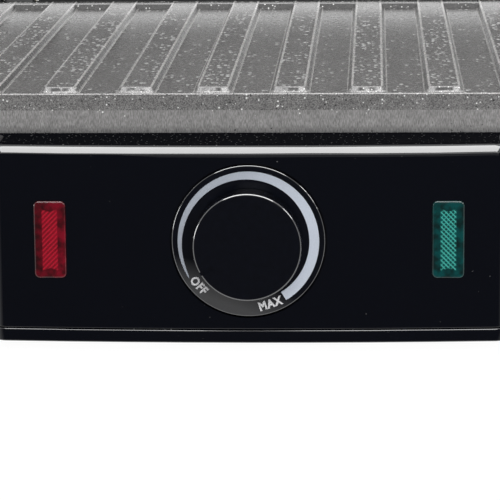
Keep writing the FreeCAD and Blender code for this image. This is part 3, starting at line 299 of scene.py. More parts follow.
def place_of(tree, centre=(0, 0, 0), turn=(0, 0, 0), stretch=(1, 1, 1)):
    """Object coordinates, centred on a place, turned and stretched."""
    source = put(tree, "ShaderNodeTexCoord").outputs["Object"]
    shift = put(tree, "ShaderNodeVectorMath", {0: source, 1: centre}, operation="SUBTRACT").outputs[0]
    feeds = {"Vector": shift, "Rotation": turn, "Scale": stretch}
    return put(tree, "ShaderNodeMapping", feeds).outputs["Vector"]


def new_material(name, **constants):
    """A material with one Principled shader, whose constants are set on its own sockets."""
    material = bpy.data.materials.new(name)
    material.use_nodes = True
    tree = material.node_tree
    tree.nodes.clear()
    shader = put(tree, "ShaderNodeBsdfPrincipled")
    output = put(tree, "ShaderNodeOutputMaterial")
    tree.links.new(shader.outputs[0], output.inputs["Surface"])
    for label, value in constants.items():
        shader.inputs[label.replace("_", " ").title().replace("Ior", "IOR")].default_value = value
    return material, tree, shader


def new_group(name, inputs, outputs):
    """An empty shader group with number inputs and outputs of the kinds given."""
    tree = bpy.data.node_groups.new(name, "ShaderNodeTree")
    for label, kind, value in inputs:
        socket = tree.interface.new_socket(label, in_out="INPUT", socket_type="NodeSocket" + kind)
        if value is not None:
            socket.default_value = value
    for label, kind in outputs:
        tree.interface.new_socket(label, in_out="OUTPUT", socket_type="NodeSocket" + kind)
    return tree, tree.nodes.new("NodeGroupInput").outputs, tree.nodes.new("NodeGroupOutput").inputs


def use_group(tree, name, feeds):
    node = tree.nodes.new("ShaderNodeGroup")
    node.node_tree = bpy.data.node_groups[name]
    for label, value in feeds.items():
        if isinstance(value, bpy.types.NodeSocket):
            tree.links.new(value, node.inputs[label])
        else:
            node.inputs[label].default_value = value
    return node.outputs


# Effects that several finishes share

def make_specks_group():
    """Round specks of about one size, scattered at random, as a mask."""
    tree, given, result = new_group(
        "Specks",
        [("Place", "Vector", None), ("Density", "Float", 500.0), ("Size", "Float", 0.15),
         ("Share", "Float", 1.0)],
        [("Mask", "Float")])
    cells = put(tree, "ShaderNodeTexVoronoi", {"Vector": given["Place"], "Scale": given["Density"]})
    pick = put(tree, "ShaderNodeSeparateColor", {"Color": cells.outputs["Color"]})
    limit = calculate(tree, "MULTIPLY", given["Size"], calculate(tree, "ADD", pick.outputs["Red"], 0.4))
    inner = calculate(tree, "MULTIPLY", limit, 0.75)
    feeds = {"Value": cells.outputs["Distance"], "From Min": inner, "From Max": limit,
             "To Min": 1.0, "To Max": 0.0}
    dots = put(tree, "ShaderNodeMapRange", feeds).outputs["Result"]
    kept = calculate(tree, "LESS_THAN", pick.outputs["Green"], given["Share"])
    tree.links.new(calculate(tree, "MULTIPLY", dots, kept), result["Mask"])


def make_drops_group():
    """Raised specks for level faces, scattered over X and Y, as a mask and as the height of their domes."""
    tree, given, result = new_group(
        "Drops",
        [("Place", "Vector", None), ("Density", "Float", 360.0), ("Size", "Float", 0.12),
         ("Share", "Float", 1.0)],
        [("Mask", "Float"), ("Dome", "Float")])
    cells = put(tree, "ShaderNodeTexVoronoi", {"Vector": given["Place"], "Scale": given["Density"]},
                voronoi_dimensions="2D")
    pick = put(tree, "ShaderNodeSeparateColor", {"Color": cells.outputs["Color"]})
    limit = calculate(tree, "MULTIPLY", given["Size"], calculate(tree, "ADD", pick.outputs["Red"], 0.4))
    feeds = {"Value": cells.outputs["Distance"], "From Min": calculate(tree, "MULTIPLY", limit, 0.8),
             "From Max": limit, "To Min": 1.0, "To Max": 0.0}
    dots = put(tree, "ShaderNodeMapRange", feeds).outputs["Result"]
    kept = calculate(tree, "LESS_THAN", pick.outputs["Green"], given["Share"])
    away = calculate(tree, "POWER", calculate(tree, "DIVIDE", cells.outputs["Distance"], limit), 2.0)
    dome = calculate(tree, "SUBTRACT", 1.0, away, clamp=True)
    tree.links.new(calculate(tree, "MULTIPLY", dots, kept), result["Mask"])
    tree.links.new(calculate(tree, "MULTIPLY", dome, kept), result["Dome"])


def make_smudge_group():
    """Faint uneven gloss, as left by wiping, as a roughness."""
    tree, given, result = new_group(
        "Smudge", [("Place", "Vector", None), ("Clean", "Float", 0.05), ("Wiped", "Float", 0.12)],
        [("Roughness", "Float")])
    broad = noise(tree, given["Place"], 14.0, 4.0)
    fine = noise(tree, given["Place"], 160.0, 3.0)
    both = calculate(tree, "ADD", calculate(tree, "MULTIPLY", broad, 0.7), calculate(tree, "MULTIPLY", fine, 0.3))
    feeds = {"Value": both, "From Min": 0.35, "From Max": 0.65, "To Min": given["Clean"],
             "To Max": given["Wiped"]}
    tree.links.new(put(tree, "ShaderNodeMapRange", feeds).outputs["Result"], result["Roughness"])


def make_grain_group():
    """Fine moulded texture, as a normal and a roughness."""
    tree, given, result = new_group(
        "Moulded grain",
        [("Place", "Vector", None), ("Grain", "Float", 1800.0), ("Depth", "Float", 0.00003),
         ("Roughness", "Float", 0.5)],
        [("Normal", "Vector"), ("Roughness", "Float")])
    height = put(tree, "ShaderNodeTexNoise",
                 {"Vector": given["Place"], "Scale": given["Grain"], "Detail": 3.0}).outputs["Fac"]
    bump = put(tree, "ShaderNodeBump", {"Strength": 1.0, "Distance": given["Depth"], "Height": height})
    patch = noise(tree, given["Place"], 30.0, 3.0)
    uneven = calculate(tree, "MULTIPLY", calculate(tree, "SUBTRACT", patch, 0.5), 0.2)
    tree.links.new(bump.outputs["Normal"], result["Normal"])
    tree.links.new(calculate(tree, "ADD", given["Roughness"], uneven), result["Roughness"])


def make_brushed_group():
    """Fine lines along one axis of the place given, as a mask and a roughness."""
    tree, given, result = new_group(
        "Brushed lines", [("Place", "Vector", None), ("Fineness", "Float", 900.0), ("Roughness", "Float", 0.3)],
        [("Lines", "Float"), ("Roughness", "Float")])
    squeezed = put(tree, "ShaderNodeVectorMath", {0: given["Place"], 1: (0.012, 1.0, 1.0)},
                   operation="MULTIPLY").outputs[0]
    lines = put(tree, "ShaderNodeTexNoise",
                {"Vector": squeezed, "Scale": given["Fineness"], "Detail": 4.0}).outputs["Fac"]
    uneven = calculate(tree, "MULTIPLY", calculate(tree, "SUBTRACT", lines, 0.5), 0.35)
    tree.links.new(lines, result["Lines"])
    tree.links.new(calculate(tree, "ADD", given["Roughness"], uneven), result["Roughness"])


# Finishes

def mirror_edges(tree, shader, start, full, least, most, keep=1.0):
    """Lets the clear coat show where the surface turns away, as at rounded edges, and hardly face on."""
    facing = put(tree, "ShaderNodeLayerWeight", {"Blend": 0.5}).outputs["Facing"]
    weight = calculate(tree, "MULTIPLY", ramp(tree, facing, start, full, least, most), keep)
    tree.links.new(weight, shader.inputs["Coat Weight"])
    return weight


def gloss_black(name="Gloss black moulding", dust=1.0):
    """Black moulding that mirrors light at its rounded edges and turned away, with specks of dust on top."""
    material, tree, shader = new_material(name, specular_ior_level=0.0, coat_roughness=0.04, coat_ior=1.8)
    place = place_of(tree)
    normal = put(tree, "ShaderNodeTexCoord").outputs["Normal"]
    level = put(tree, "ShaderNodeSeparateXYZ", {"Vector": normal}).outputs["Z"]
    deck = ramp(tree, level, 0.93, 0.97)
    specks = use_group(tree, "Specks", {"Place": place, "Density": 330.0, "Size": 0.045})["Mask"]
    dusty = ramp(tree, noise(tree, place, 25.0), 0.5, 0.62, 0.0, 0.35 * dust)
    crumbs = use_group(tree, "Drops", {"Place": place, "Density": 420.0, "Size": 0.09, "Share": 0.6})["Mask"]
    mask = calculate(tree, "MAXIMUM", calculate(tree, "MULTIPLY", specks, dusty),
                     calculate(tree, "MULTIPLY", calculate(tree, "MULTIPLY", crumbs, deck), 0.5 * dust))
    tree.links.new(mix_colours(tree, mask, rgba("housing"), (0.5, 0.5, 0.5, 1)), shader.inputs["Base Color"])
    wiped = use_group(tree, "Smudge", {"Place": place, "Clean": 0.94, "Wiped": 1.0})["Roughness"]
    rounded = ramp(tree, calculate(tree, "ABSOLUTE", level), 0.33, 0.4)
    facing = put(tree, "ShaderNodeLayerWeight", {"Blend": 0.5}).outputs["Facing"]
    weight = calculate(tree, "MAXIMUM", rounded, ramp(tree, facing, 0.1, 0.42, 0.03, 1.0))
    flat = ramp(tree, deck, 0.0, 1.0, 1.0, 0.03)
    weight = calculate(tree, "MULTIPLY", calculate(tree, "MULTIPLY", weight, flat), wiped)
    tree.links.new(weight, shader.inputs["Coat Weight"])
    return material


def gloss_knob(name, clean, wiped, sheen=0.0):
    """Black moulding with a soft shine and bright, narrow edges; sheen lets its low part mirror the floor."""
    material, tree, shader = new_material(name, specular_ior_level=0.0, coat_roughness=0.1, coat_ior=2.3)
    place = place_of(tree)
    shade = ramp(tree, noise(tree, place, 500.0, 3.0), 0.3, 0.7, 0.85, 1.2)
    tone = put(tree, "ShaderNodeVectorMath", {0: rgba("housing")[:3], "Scale": shade},
               operation="SCALE").outputs[0]
    tree.links.new(tone, shader.inputs["Base Color"])
    rough = use_group(tree, "Smudge", {"Place": place, "Clean": clean, "Wiped": wiped})["Roughness"]
    tree.links.new(rough, shader.inputs["Roughness"])
    weight = mirror_edges(tree, shader, 0.08, 0.2, 0.02, 1.0)
    if sheen:
        away = put(tree, "ShaderNodeSeparateXYZ", {"Vector": place_of(tree, tuple(dial_face()))}).outputs
        down = calculate(tree, "MULTIPLY_ADD", away["X"], -0.35, calculate(tree, "MULTIPLY", away["Z"], -0.94))
        low = calculate(tree, "MULTIPLY", ramp(tree, down, 0.011, 0.021), sheen)
        tree.links.new(calculate(tree, "MAXIMUM", weight, low), shader.inputs["Coat Weight"])
    return material


def satin_black(name, roughness, grain, depth, tint="satin"):
    """Fine textured black moulding."""
    material, tree, shader = new_material(name, specular_ior_level=0.3)
    place = place_of(tree)
    texture = use_group(tree, "Moulded grain", {"Place": place, "Grain": grain, "Depth": depth,
                                                "Roughness": roughness})
    tree.links.new(texture["Normal"], shader.inputs["Normal"])
    tree.links.new(texture["Roughness"], shader.inputs["Roughness"])
    shade = ramp(tree, noise(tree, place, 60.0, 4.0), 0.3, 0.7, 0.8, 1.2)
    tone = put(tree, "ShaderNodeVectorMath", {0: rgba(tint)[:3], "Scale": shade}, operation="SCALE").outputs[0]
    tree.links.new(tone, shader.inputs["Base Color"])
    return material


def attribute(tree, name, output="Fac"):
    return put(tree, "ShaderNodeAttribute", attribute_name=name).outputs[output]


def scaled(tree, tint, factor):
    """A colour made lighter or darker by a factor."""
    return put(tree, "ShaderNodeVectorMath", {0: tint, "Scale": factor}, operation="SCALE").outputs[0]


def stretched(tree, place, factors):
    return put(tree, "ShaderNodeVectorMath", {0: place, 1: factors}, operation="MULTIPLY").outputs[0]


def band(tree, value, low, high, blur):
    """1 between two values and 0 outside them."""
    rising = ramp(tree, value, low - blur, low, 0.0, 1.0)
    return calculate(tree, "MULTIPLY", rising, ramp(tree, value, high, high + blur, 1.0, 0.0))


def stone_coating(name, shift, drop):
    """Grey non-stick coating: pale and dark specks and fine streaks on the skirt, with painted light and shade:
    painted highlights on the rib edges, rib feet and front edge, a skirt painted lighter with painted shade at its
    foot, and painted shade on the rib flanks, the rear wall and the middle of the rib ends.
    """
    size = sizes()
    material, tree, shader = new_material(name, specular_ior_level=0.5)
    flat = attribute(tree, "flat", "Vector")
    place = put(tree, "ShaderNodeVectorMath", {0: flat, 1: shift}, operation="ADD").outputs[0]
    axes = put(tree, "ShaderNodeSeparateXYZ", {"Vector": flat}).outputs
    skirt, top, rear, tip, brink = [attribute(tree, mark) for mark in ("skirt", "top", "rear", "tip", "brink")]
    slot = calculate(tree, "FRACT", calculate(tree, "DIVIDE", axes["X"], size.rib_pitch))
    across = calculate(tree, "MULTIPLY", calculate(tree, "ABSOLUTE", calculate(tree, "SUBTRACT", slot, 0.5)),
                       size.rib_pitch)
    on_rib = calculate(tree, "MULTIPLY", attribute(tree, "ribbed"), ramp(tree, axes["Z"], -0.0008, -0.0005))
    near_foot = calculate(tree, "MULTIPLY", attribute(tree, "ribbed"), ramp(tree, axes["Z"], -0.0014, -0.0013,
                                                                            1.0, 0.0))
    # Painted highlight: a bright line along each rib's top edge, broken up by noise and made 6.5 times lighter in
    # the loop below.
    edge_highlight_breakup = ramp(tree, noise(tree, place, 1100.0, 2.0), 0.4, 0.6, 0.5, 1.2)
    painted_edge_highlight = calculate(tree, "MULTIPLY", on_rib, band(tree, across, size.rib_edge - 0.0004, size.rib_edge + 0.0003,
                                                    0.0001))
    painted_edge_highlight = calculate(tree, "MULTIPLY", painted_edge_highlight, edge_highlight_breakup)
    # Painted highlight: a bright line along each rib's foot, made 7 times lighter in the loop below.
    foot = calculate(tree, "MULTIPLY", near_foot, band(tree, across, size.rib_foot - 0.0004,
                                                       size.rib_foot + 0.0001, 0.0001))
    # Painted shade: the rib flanks are made darker, to 0.4 of the ground, in the loop below.
    flank = calculate(tree, "MULTIPLY", attribute(tree, "ribbed"),
                      band(tree, across, size.rib_edge + 0.0003, size.rib_foot, 0.0001))
    cloud = ramp(tree, noise(tree, place, 260.0, 5.0), 0.3, 0.7, 0.88, 1.1)
    grain = ramp(tree, noise(tree, place, 3000.0, 2.0), 0.38, 0.62, 0.35, 1.5)
    streaks = ramp(tree, noise(tree, stretched(tree, place, (1.0, 1.0, 0.05)), 6200.0, 2.0), 0.38, 0.62, 0.6, 1.35)
    fine = put(tree, "ShaderNodeMix", {0: skirt, 2: grain, 3: streaks}).outputs[0]
    # Painted shade: the skirt darkens towards its foot, where it meets the housing.
    painted_skirt_foot_shade = calculate(tree, "MULTIPLY", skirt, ramp(tree, axes["Z"], -0.0143, -0.0118, 1.0, 0.0))
    shade = calculate(tree, "MULTIPLY", cloud, fine)
    # Painted shade: the middle of each rib's front end is made darker in patches, which are also duller.
    blotch = calculate(tree, "MULTIPLY", tip, ramp(tree, noise(tree, place, 420.0, 2.0), 0.37, 0.45))
    blotch = calculate(tree, "MULTIPLY", blotch, band(tree, axes["Z"], -0.0013, -0.0005, 0.0002))
    blotch = calculate(tree, "MULTIPLY", blotch, ramp(tree, across, 0.0024, 0.0036, 1.0, 0.0))
    # Painted light and shade, set face by face: the skirt painted lighter, the rear wall painted darker and a
    # painted highlight on the front edge (brink), besides the painted highlights and shade marked above.
    for mark, factor in ((skirt, 1.5), (painted_skirt_foot_shade, 0.35), (top, 0.98), (painted_edge_highlight, 6.5), (flank, 0.4), (foot, 7.0),
                         (rear, 0.4), (blotch, 0.25), (brink, 2.2)):
        shade = calculate(tree, "MULTIPLY", shade, ramp(tree, mark, 0.0, 1.0, 1.0, factor))
    patch = ramp(tree, noise(tree, place, 42.0, 3.0), 0.42, 0.58, 0.2, 1.0)
    on_top = calculate(tree, "MAXIMUM", ramp(tree, on_rib, 0.0, 1.0, 0.35, 1.0), ramp(tree, top, 0.0, 1.0, 1.0, 0.0))
    sparse = calculate(tree, "MULTIPLY", ramp(tree, skirt, 0.0, 1.0, 1.0, 0.3), on_top)
    crowd = calculate(tree, "MULTIPLY", calculate(tree, "MULTIPLY", on_top, patch), 0.75)
    pale = use_group(tree, "Specks", {"Place": place, "Density": 700.0, "Size": 0.17, "Share": sparse})["Mask"]
    drops = use_group(tree, "Drops", {"Place": stretched(tree, place, (1.0, 0.45, 1.0)), "Density": 480.0,
                                      "Size": drop, "Share": crowd})
    pale = calculate(tree, "MAXIMUM", pale, calculate(tree, "MULTIPLY", drops["Mask"], top))
    moved = put(tree, "ShaderNodeVectorMath", {0: place, 1: (0.37, 0.21, 0.13)}, operation="ADD").outputs[0]
    dark = use_group(tree, "Specks", {"Place": moved, "Density": 600.0, "Size": 0.18, "Share": sparse})["Mask"]
    tone = scaled(tree, rgba("coating")[:3], shade)
    tone = mix_colours(tree, dark, tone, rgba("speck_dark"))
    tone = mix_colours(tree, pale, tone, rgba("speck_light"))
    tree.links.new(tone, shader.inputs["Base Color"])
    rough = ramp(tree, noise(tree, place, 700.0, 3.0), 0.3, 0.7, 0.2, 0.3)
    dull = calculate(tree, "MAXIMUM", rear, blotch)
    rough = calculate(tree, "MAXIMUM", rough, calculate(tree, "MULTIPLY", dull, 0.8))
    rough = calculate(tree, "MULTIPLY", rough, ramp(tree, pale, 0.0, 0.5, 1.0, 0.5))
    tree.links.new(rough, shader.inputs["Roughness"])
    bump = put(tree, "ShaderNodeBump", {"Strength": 0.4, "Distance": 0.00003,
                                        "Height": noise(tree, place, 1200.0, 3.0)})
    raised = put(tree, "ShaderNodeBump", {"Strength": 1.0, "Distance": 0.0014 * drop,
                                          "Height": calculate(tree, "MULTIPLY", drops["Dome"], top),
                                          "Normal": bump.outputs["Normal"]})
    tree.links.new(raised.outputs["Normal"], shader.inputs["Normal"])
    return material


def brushed_metal(name, tint, roughness, fineness, centre=(0, 0, 0), turn=(0, 0, 0)):
    """Metal with fine lines along X of its turned place."""
    material, tree, shader = new_material(name, metallic=1.0)
    place = place_of(tree, centre, turn)
    brushed = use_group(tree, "Brushed lines", {"Place": place, "Fineness": fineness, "Roughness": roughness})
    shade = ramp(tree, brushed["Lines"], 0.3, 0.7, 0.85, 1.1)
    tone = put(tree, "ShaderNodeVectorMath", {0: tint[:3], "Scale": shade}, operation="SCALE").outputs[0]
    tree.links.new(tone, shader.inputs["Base Color"])
    tree.links.new(brushed["Roughness"], shader.inputs["Roughness"])
    return material


def printed(name, tint, sparkle, dimmest=1.0):
    """Pale print with a slight metallic sparkle, and painted shade that makes it dimmer towards the dial's upper
    left.
    """
    material, tree, shader = new_material(name, specular_ior_level=0.3, roughness=0.45)
    place = place_of(tree, tuple(dial_face()))
    axes = put(tree, "ShaderNodeSeparateXYZ", {"Vector": place}).outputs
    aside = calculate(tree, "MULTIPLY_ADD", axes["Z"], -0.7, axes["X"])
    shade = ramp(tree, noise(tree, place, 2600.0, 2.0), 0.3, 0.7, 1.0 - sparkle, 1.0 + sparkle)
    # Painted shade: the print darkens towards the dial's upper left, down to the dimmest factor.
    shade = calculate(tree, "MULTIPLY", shade, ramp(tree, aside, -0.02, 0.012, dimmest, 1.0))
    tone = put(tree, "ShaderNodeVectorMath", {0: tint[:3], "Scale": shade}, operation="SCALE").outputs[0]
    tree.links.new(tone, shader.inputs["Base Color"])
    return material


def ribbed_lens(name, node, bright, deep, lean, ground, glow, crossed):
    """A translucent lens with a strip of slanting ribs behind it, painted lighter towards one side as painted light,
    and with a faint painted glow in its own colours that stands in for light through the plastic.
    """
    low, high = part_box(node)
    size = sizes()
    material, tree, shader = new_material(name, specular_ior_level=0.06, coat_roughness=0.05, coat_ior=1.6,
                                          emission_strength=0.12)
    place = place_of(tree, centre=tuple((low + high) / 2))
    axes = put(tree, "ShaderNodeSeparateXYZ", {"Vector": place}).outputs
    wide = calculate(tree, "ABSOLUTE", axes["X"])
    tall = calculate(tree, "ABSOLUTE", axes["Z"])
    half = size.hatch_width / 2

    def hatch(slant, start, full):
        along = calculate(tree, "MULTIPLY_ADD", axes["X"], slant, axes["Z"])
        wave = calculate(tree, "SINE", calculate(tree, "MULTIPLY", along, 2 * math.pi / size.hatch_pitch))
        return ramp(tree, wave, start, full)

    ribs = hatch(-lean, 0.35, 0.9) if crossed else hatch(-lean, -0.2, 0.8)
    if crossed:
        ribs = calculate(tree, "MAXIMUM", ribs, calculate(tree, "MULTIPLY", hatch(lean * 1.1, 0.5, 0.95), 0.6))
    across = ramp(tree, wide, half - 0.0002, half + 0.0001, 1.0, 0.0)
    notch = calculate(tree, "MULTIPLY_ADD", wide, -0.3, calculate(tree, "ADD", tall, 0.3 * half))
    upright = ramp(tree, notch, size.hatch_height / 2 - 0.0003, size.hatch_height / 2 + 0.0002, 1.0, 0.0)
    strip = calculate(tree, "MULTIPLY", across, upright)
    blotch = ramp(tree, noise(tree, place, 300.0, 2.0), 0.38, 0.62, 0.4, 1.5)
    # Painted light: the lens is lighter towards one side and darker towards the other, by the glow factor.
    side = ramp(tree, axes["X"], -0.0045, 0.0045, 1.0 - glow, 1.0 + glow)
    lit = calculate(tree, "MULTIPLY", strip, ramp(tree, ribs, 0.0, 1.0, ground, 1.0))
    around = scaled(tree, rgba(deep)[:3], calculate(tree, "MULTIPLY", blotch, side))
    tone = mix_colours(tree, lit, around, rgba(bright))
    tree.links.new(tone, shader.inputs["Base Color"])
    # Painted glow: the lens emits its own colours faintly at the emission strength set above, which stands in for
    # light through the plastic.
    tree.links.new(tone, shader.inputs["Emission Color"])
    tree.links.new(ramp(tree, blotch, 0.4, 1.5, 0.08, 0.16), shader.inputs["Roughness"])
    mirror_edges(tree, shader, 0.06, 0.2, 0.02, 0.8)
    return material


def plain_finish(name, tint, roughness, metal=0.0, scale=400.0, spread=0.12):
    """A finish with a fine cloudy tone and uneven gloss, for pieces inside or underneath."""
    material, tree, shader = new_material(name, metallic=metal)
    place = place_of(tree)
    cloud = noise(tree, place, scale, 4.0)
    shade = ramp(tree, cloud, 0.3, 0.7, 1.0 - spread, 1.0 + spread)
    tone = put(tree, "ShaderNodeVectorMath", {0: tint, "Scale": shade}, operation="SCALE").outputs[0]
    tree.links.new(tone, shader.inputs["Base Color"])
    tree.links.new(ramp(tree, cloud, 0.3, 0.7, roughness - 0.06, roughness + 0.08), shader.inputs["Roughness"])
    return material


def make_finishes():
    """Builds the shared groups and every finish once."""
    make_specks_group()
    make_drops_group()
    make_smudge_group()
    make_grain_group()
    make_brushed_group()
    steel = rgba("steel")
    return {
        "housing_black": gloss_black(),
        "lid_black": gloss_black("Gloss black lid", 0.6),
        "cover_black": satin_black("Fine matte moulding", 0.42, 2200.0, 0.00003),
        "frame_black": satin_black("Heat resistant moulding", 0.55, 1500.0, 0.00004),
        "tray_black": satin_black("Tray moulding", 0.4, 2200.0, 0.00003),
        "grip_black": satin_black("Soft grip", 0.5, 2600.0, 0.00005),
        "foot_rubber": satin_black("Foot rubber", 0.75, 1200.0, 0.00005),
        "dial_black": gloss_knob("Dial moulding", 0.25, 0.4, 0.35),
        "knob_black": gloss_knob("Knob moulding", 0.15, 0.3),
        "lower_coating": stone_coating("Stone coating", (0.0, 0.0, 0.0), 0.3),
        "upper_coating": stone_coating("Stone coating of the lid", (0.5, 0.7, 0.3), 0.14),
        "lens_red": ribbed_lens("Red lens", "power_lamp_lens", "red_bright", "red_deep", 1.0, 0.36, 0.35,
                                False),
        "lens_green": ribbed_lens("Green lens", "ready_lamp_lens", "green_bright", "green_deep", -1.0, 0.06, 0.0,
                                  True),
        # The heat scale is painted down to 0.66 of its tone towards the upper left: painted shade.
        "wedge": printed("Heat scale print", rgba("wedge"), 0.05, 0.66),
        "letters": printed("Letter print", rgba("letters"), 0.02),
        "lid_steel": brushed_metal("Brushed lid steel", steel, 0.3, 900.0),
        "shaft_steel": brushed_metal("Ground shaft steel", steel, 0.22, 1600.0, turn=(0, 0, math.pi / 2)),
        "screw_steel": brushed_metal("Zinc plated steel", steel, 0.32, 700.0),
        "element_steel": plain_finish("Heat tinted steel", (0.22, 0.2, 0.19), 0.4, 1.0),
        "pan_aluminised": plain_finish("Aluminised sheet", (0.6, 0.6, 0.6), 0.35, 1.0, 220.0),
        "thermostat_ceramic": plain_finish("Unglazed ceramic", (0.8, 0.78, 0.72), 0.7),
        "bulb_copper": plain_finish("Bare copper", (0.62, 0.32, 0.2), 0.3, 1.0),
        "holder_white": plain_finish("White holder", (0.75, 0.75, 0.72), 0.5),
        "neon_glass": plain_finish("Lamp glass", (0.6, 0.42, 0.3), 0.1),
        "lug_cast": plain_finish("Coated casting", (0.02, 0.02, 0.021), 0.45, 0.0, 900.0, 0.25),
        "bush_brass": plain_finish("Turned brass", (0.6, 0.45, 0.22), 0.28, 1.0),
    }


FINISHES = {}


def finish(slot):
    if not FINISHES:
        FINISHES.update(make_finishes())
    return FINISHES[slot]


# Places that several pieces share

def open_turn():
    """The turn from the shut lid, as drawn, to the open rest position."""
    joint = JOINTS["lid_hinge"]
    pivot = Vector(joint["pos_m"])
    angle = -math.radians(joint["range_deg"][1])
    return Matrix.Translation(pivot) @ Matrix.Rotation(angle, 4, "X") @ Matrix.Translation(-pivot)


def dial_face():
    """The centre of the dial, on its front face."""
    low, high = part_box("dial_disc")
    return Vector(((low.x + high.x) / 2, low.y, (low.z + high.z) / 2))


class GrillOperator(bpy.types.Operator):
    """Shared by the operators that make the grill's pieces"""

    bl_options = {"REGISTER", "UNDO"}

    def execute(self, context):
        self.make()
        return {"FINISHED"}


class GRILL_OT_housing(GrillOperator):
    """Gloss black base housing, and the matte cover, feet and cord bush under and behind it"""

    bl_idname = "grill.housing"
    bl_label = "Housing"

    def make(self):
        skin("base_housing", finish("housing_black"), 50)
        skin("bottom_cover", finish("housing_black"), 50)
        skin("rubber_feet", finish("foot_rubber"), 50)
        skin("cord_bush", finish("cover_black"))


class GRILL_OT_plates(GrillOperator):
    """Lower and upper grill plates with their speckled coating"""

    bl_idname = "grill.plates"
    bl_label = "Grill plates"

    def make(self):
        for node, coating in (("lower_plate", "lower_coating"), ("upper_plate", "upper_coating")):
            piece = skin(node, finish(coating), 40)
            self.mark_faces(piece, self.flat_turn(node))

    def flat_turn(self, node):
        """The turn that lays a plate's ribs in the plane z = 0, facing up."""
        if node == "lower_plate":
            return Matrix.Translation((0, 0, -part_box(node)[1].z))
        shut = open_turn().inverted()
        ribs = min((shut @ vertex.co).z for vertex in NODES[node].data.vertices)
        return Matrix.Diagonal((1, 1, -1, 1)) @ Matrix.Translation((0, 0, -ribs)) @ shut

    def mark_faces(self, piece, flat):
        """Stores each point's place on the flat plate, and marks its faces by how they lie there."""
        mesh = piece.data
        rise = sizes().rib_rise
        turn = flat.to_3x3()
        spots = [(flat @ face.center, turn @ face.normal) for face in mesh.polygons]
        front = min(spot.y for spot, normal in spots)
        # These marks also say where the coating is painted lighter or darker: painted light and shade on the skirt,
        # rear wall, rib ends, front edge and rib flanks.
        marks = {
            "skirt": lambda spot, normal: 0.08 < abs(normal.z) < 0.14,
            "top": lambda spot, normal: normal.z > 0.97 and spot.z > -1.5 * rise,
            "ribbed": lambda spot, normal: normal.z > 0.3 and spot.z > -1.5 * rise and abs(normal.y) < 0.2,
            "brink": lambda spot, normal: 0.2 < normal.z < 0.96 and abs(spot.z + rise) < 0.3 * rise
            and abs(normal.y) > 0.2 and spot.y < front + 0.0035,
            "tip": lambda spot, normal: normal.y < -0.2 and spot.z > -rise and spot.y < front + 0.006,
            "rear": lambda spot, normal: normal.y < -0.5 and spot.y > 0 and spot.z > -rise,
        }
        for name, test in marks.items():
            mark = mesh.attributes.new(name, "FLOAT", "FACE")
            mark.data.foreach_set("value", [float(test(*spot)) for spot in spots])
        places = mesh.attributes.new("flat", "FLOAT_VECTOR", "POINT")
        places.data.foreach_set("vector", [part for vertex in mesh.vertices for part in flat @ vertex.co])


class GRILL_OT_dial(GrillOperator):
    """Dial disc with its printed heat scale and the two words, and the knob"""

    bl_idname = "grill.dial"
    bl_label = "Dial and knob"

    start = -122
    end = 148
    full = 65

    def make(self):
        skin("dial_disc", finish("dial_black"), 50)
        skin("knob", finish("knob_black"), 50)
        self.make_wedge()
        self.make_word("OFF", 228)
        self.make_word("MAX", 161.5)

    def make_wedge(self):
        """A strip bent round the dial; it widens from a point, as the square root of the way along."""
        size = sizes()
        centre = dial_face()
        steps = 108
        bpy.ops.object.select_all(action="DESELECT")
        bpy.ops.mesh.primitive_grid_add(x_subdivisions=steps, y_subdivisions=1, size=2)
        piece = named("heat_scale")
        for vertex in piece.data.vertices:
            along = (vertex.co.x + 1) / 2
            angle = self.start + (self.end - self.start) * along
            widening = min(max((angle - self.start) / (self.full - self.start), 0), 1)
            width = size.wedge_width * (0.03 + 0.97 * math.sqrt(widening))
            radius = size.wedge_radius - width * (vertex.co.y < 0)
            turn = math.radians(angle)
            place = Vector((math.sin(turn) * radius, -size.print_thickness, math.cos(turn) * radius))
            vertex.co = centre + place
        apply_modifier(piece, "SOLIDIFY", thickness=size.print_thickness * 0.9, offset=-1)
        edit(piece)
        bpy.ops.mesh.select_all(action="SELECT")
        bpy.ops.mesh.normals_make_consistent(inside=False)
        leave_edit()
        settle(piece)
        finish_piece(piece, "base", "dial_black", finish("wedge"))

    def make_word(self, word, clockwise):
        """A word on the dial, its tops towards the centre."""
        size = sizes()
        bpy.ops.object.select_all(action="DESELECT")
        bpy.ops.object.text_add()
        text = bpy.context.active_object
        text.data.body = word
        text.data.align_x = "CENTER"
        text.data.align_y = "CENTER"
        text.data.size = size.letter_height * 1.38
        text.data.space_character = 1.12
        text.data.extrude = size.print_thickness / 2
        text.data.offset = size.letter_height * 0.055
        bpy.ops.object.convert(target="MESH")
        piece = named("word_" + word.lower())
        turn = math.radians(clockwise)
        radius = size.letter_radius
        place = Vector((math.sin(turn) * radius, -size.print_thickness / 2, math.cos(turn) * radius))
        upright = Matrix.Rotation(math.pi / 2, 4, "X")
        lean = Matrix.Rotation(turn + math.pi, 4, "Y")
        narrow = Matrix.Diagonal((0.88, 1, 1, 1))
        piece.matrix_world = Matrix.Translation(dial_face() + place) @ lean @ upright @ narrow
        settle(piece)
        finish_piece(piece, "base", "dial_black", finish("letters"))


class GRILL_OT_lamps(GrillOperator):
    """The two lamp lenses with their ribbed strips, and the holders and glow lamps behind"""

    bl_idname = "grill.lamps"
    bl_label = "Lamps"

    def make(self):
        skin("power_lamp_lens", finish("lens_red"), 50)
        skin("ready_lamp_lens", finish("lens_green"), 50)
        for lamp in ("power", "ready"):
            paint(lamp + "_lamp_holder", finish("holder_white"))
            paint(lamp + "_neon", finish("neon_glass"))


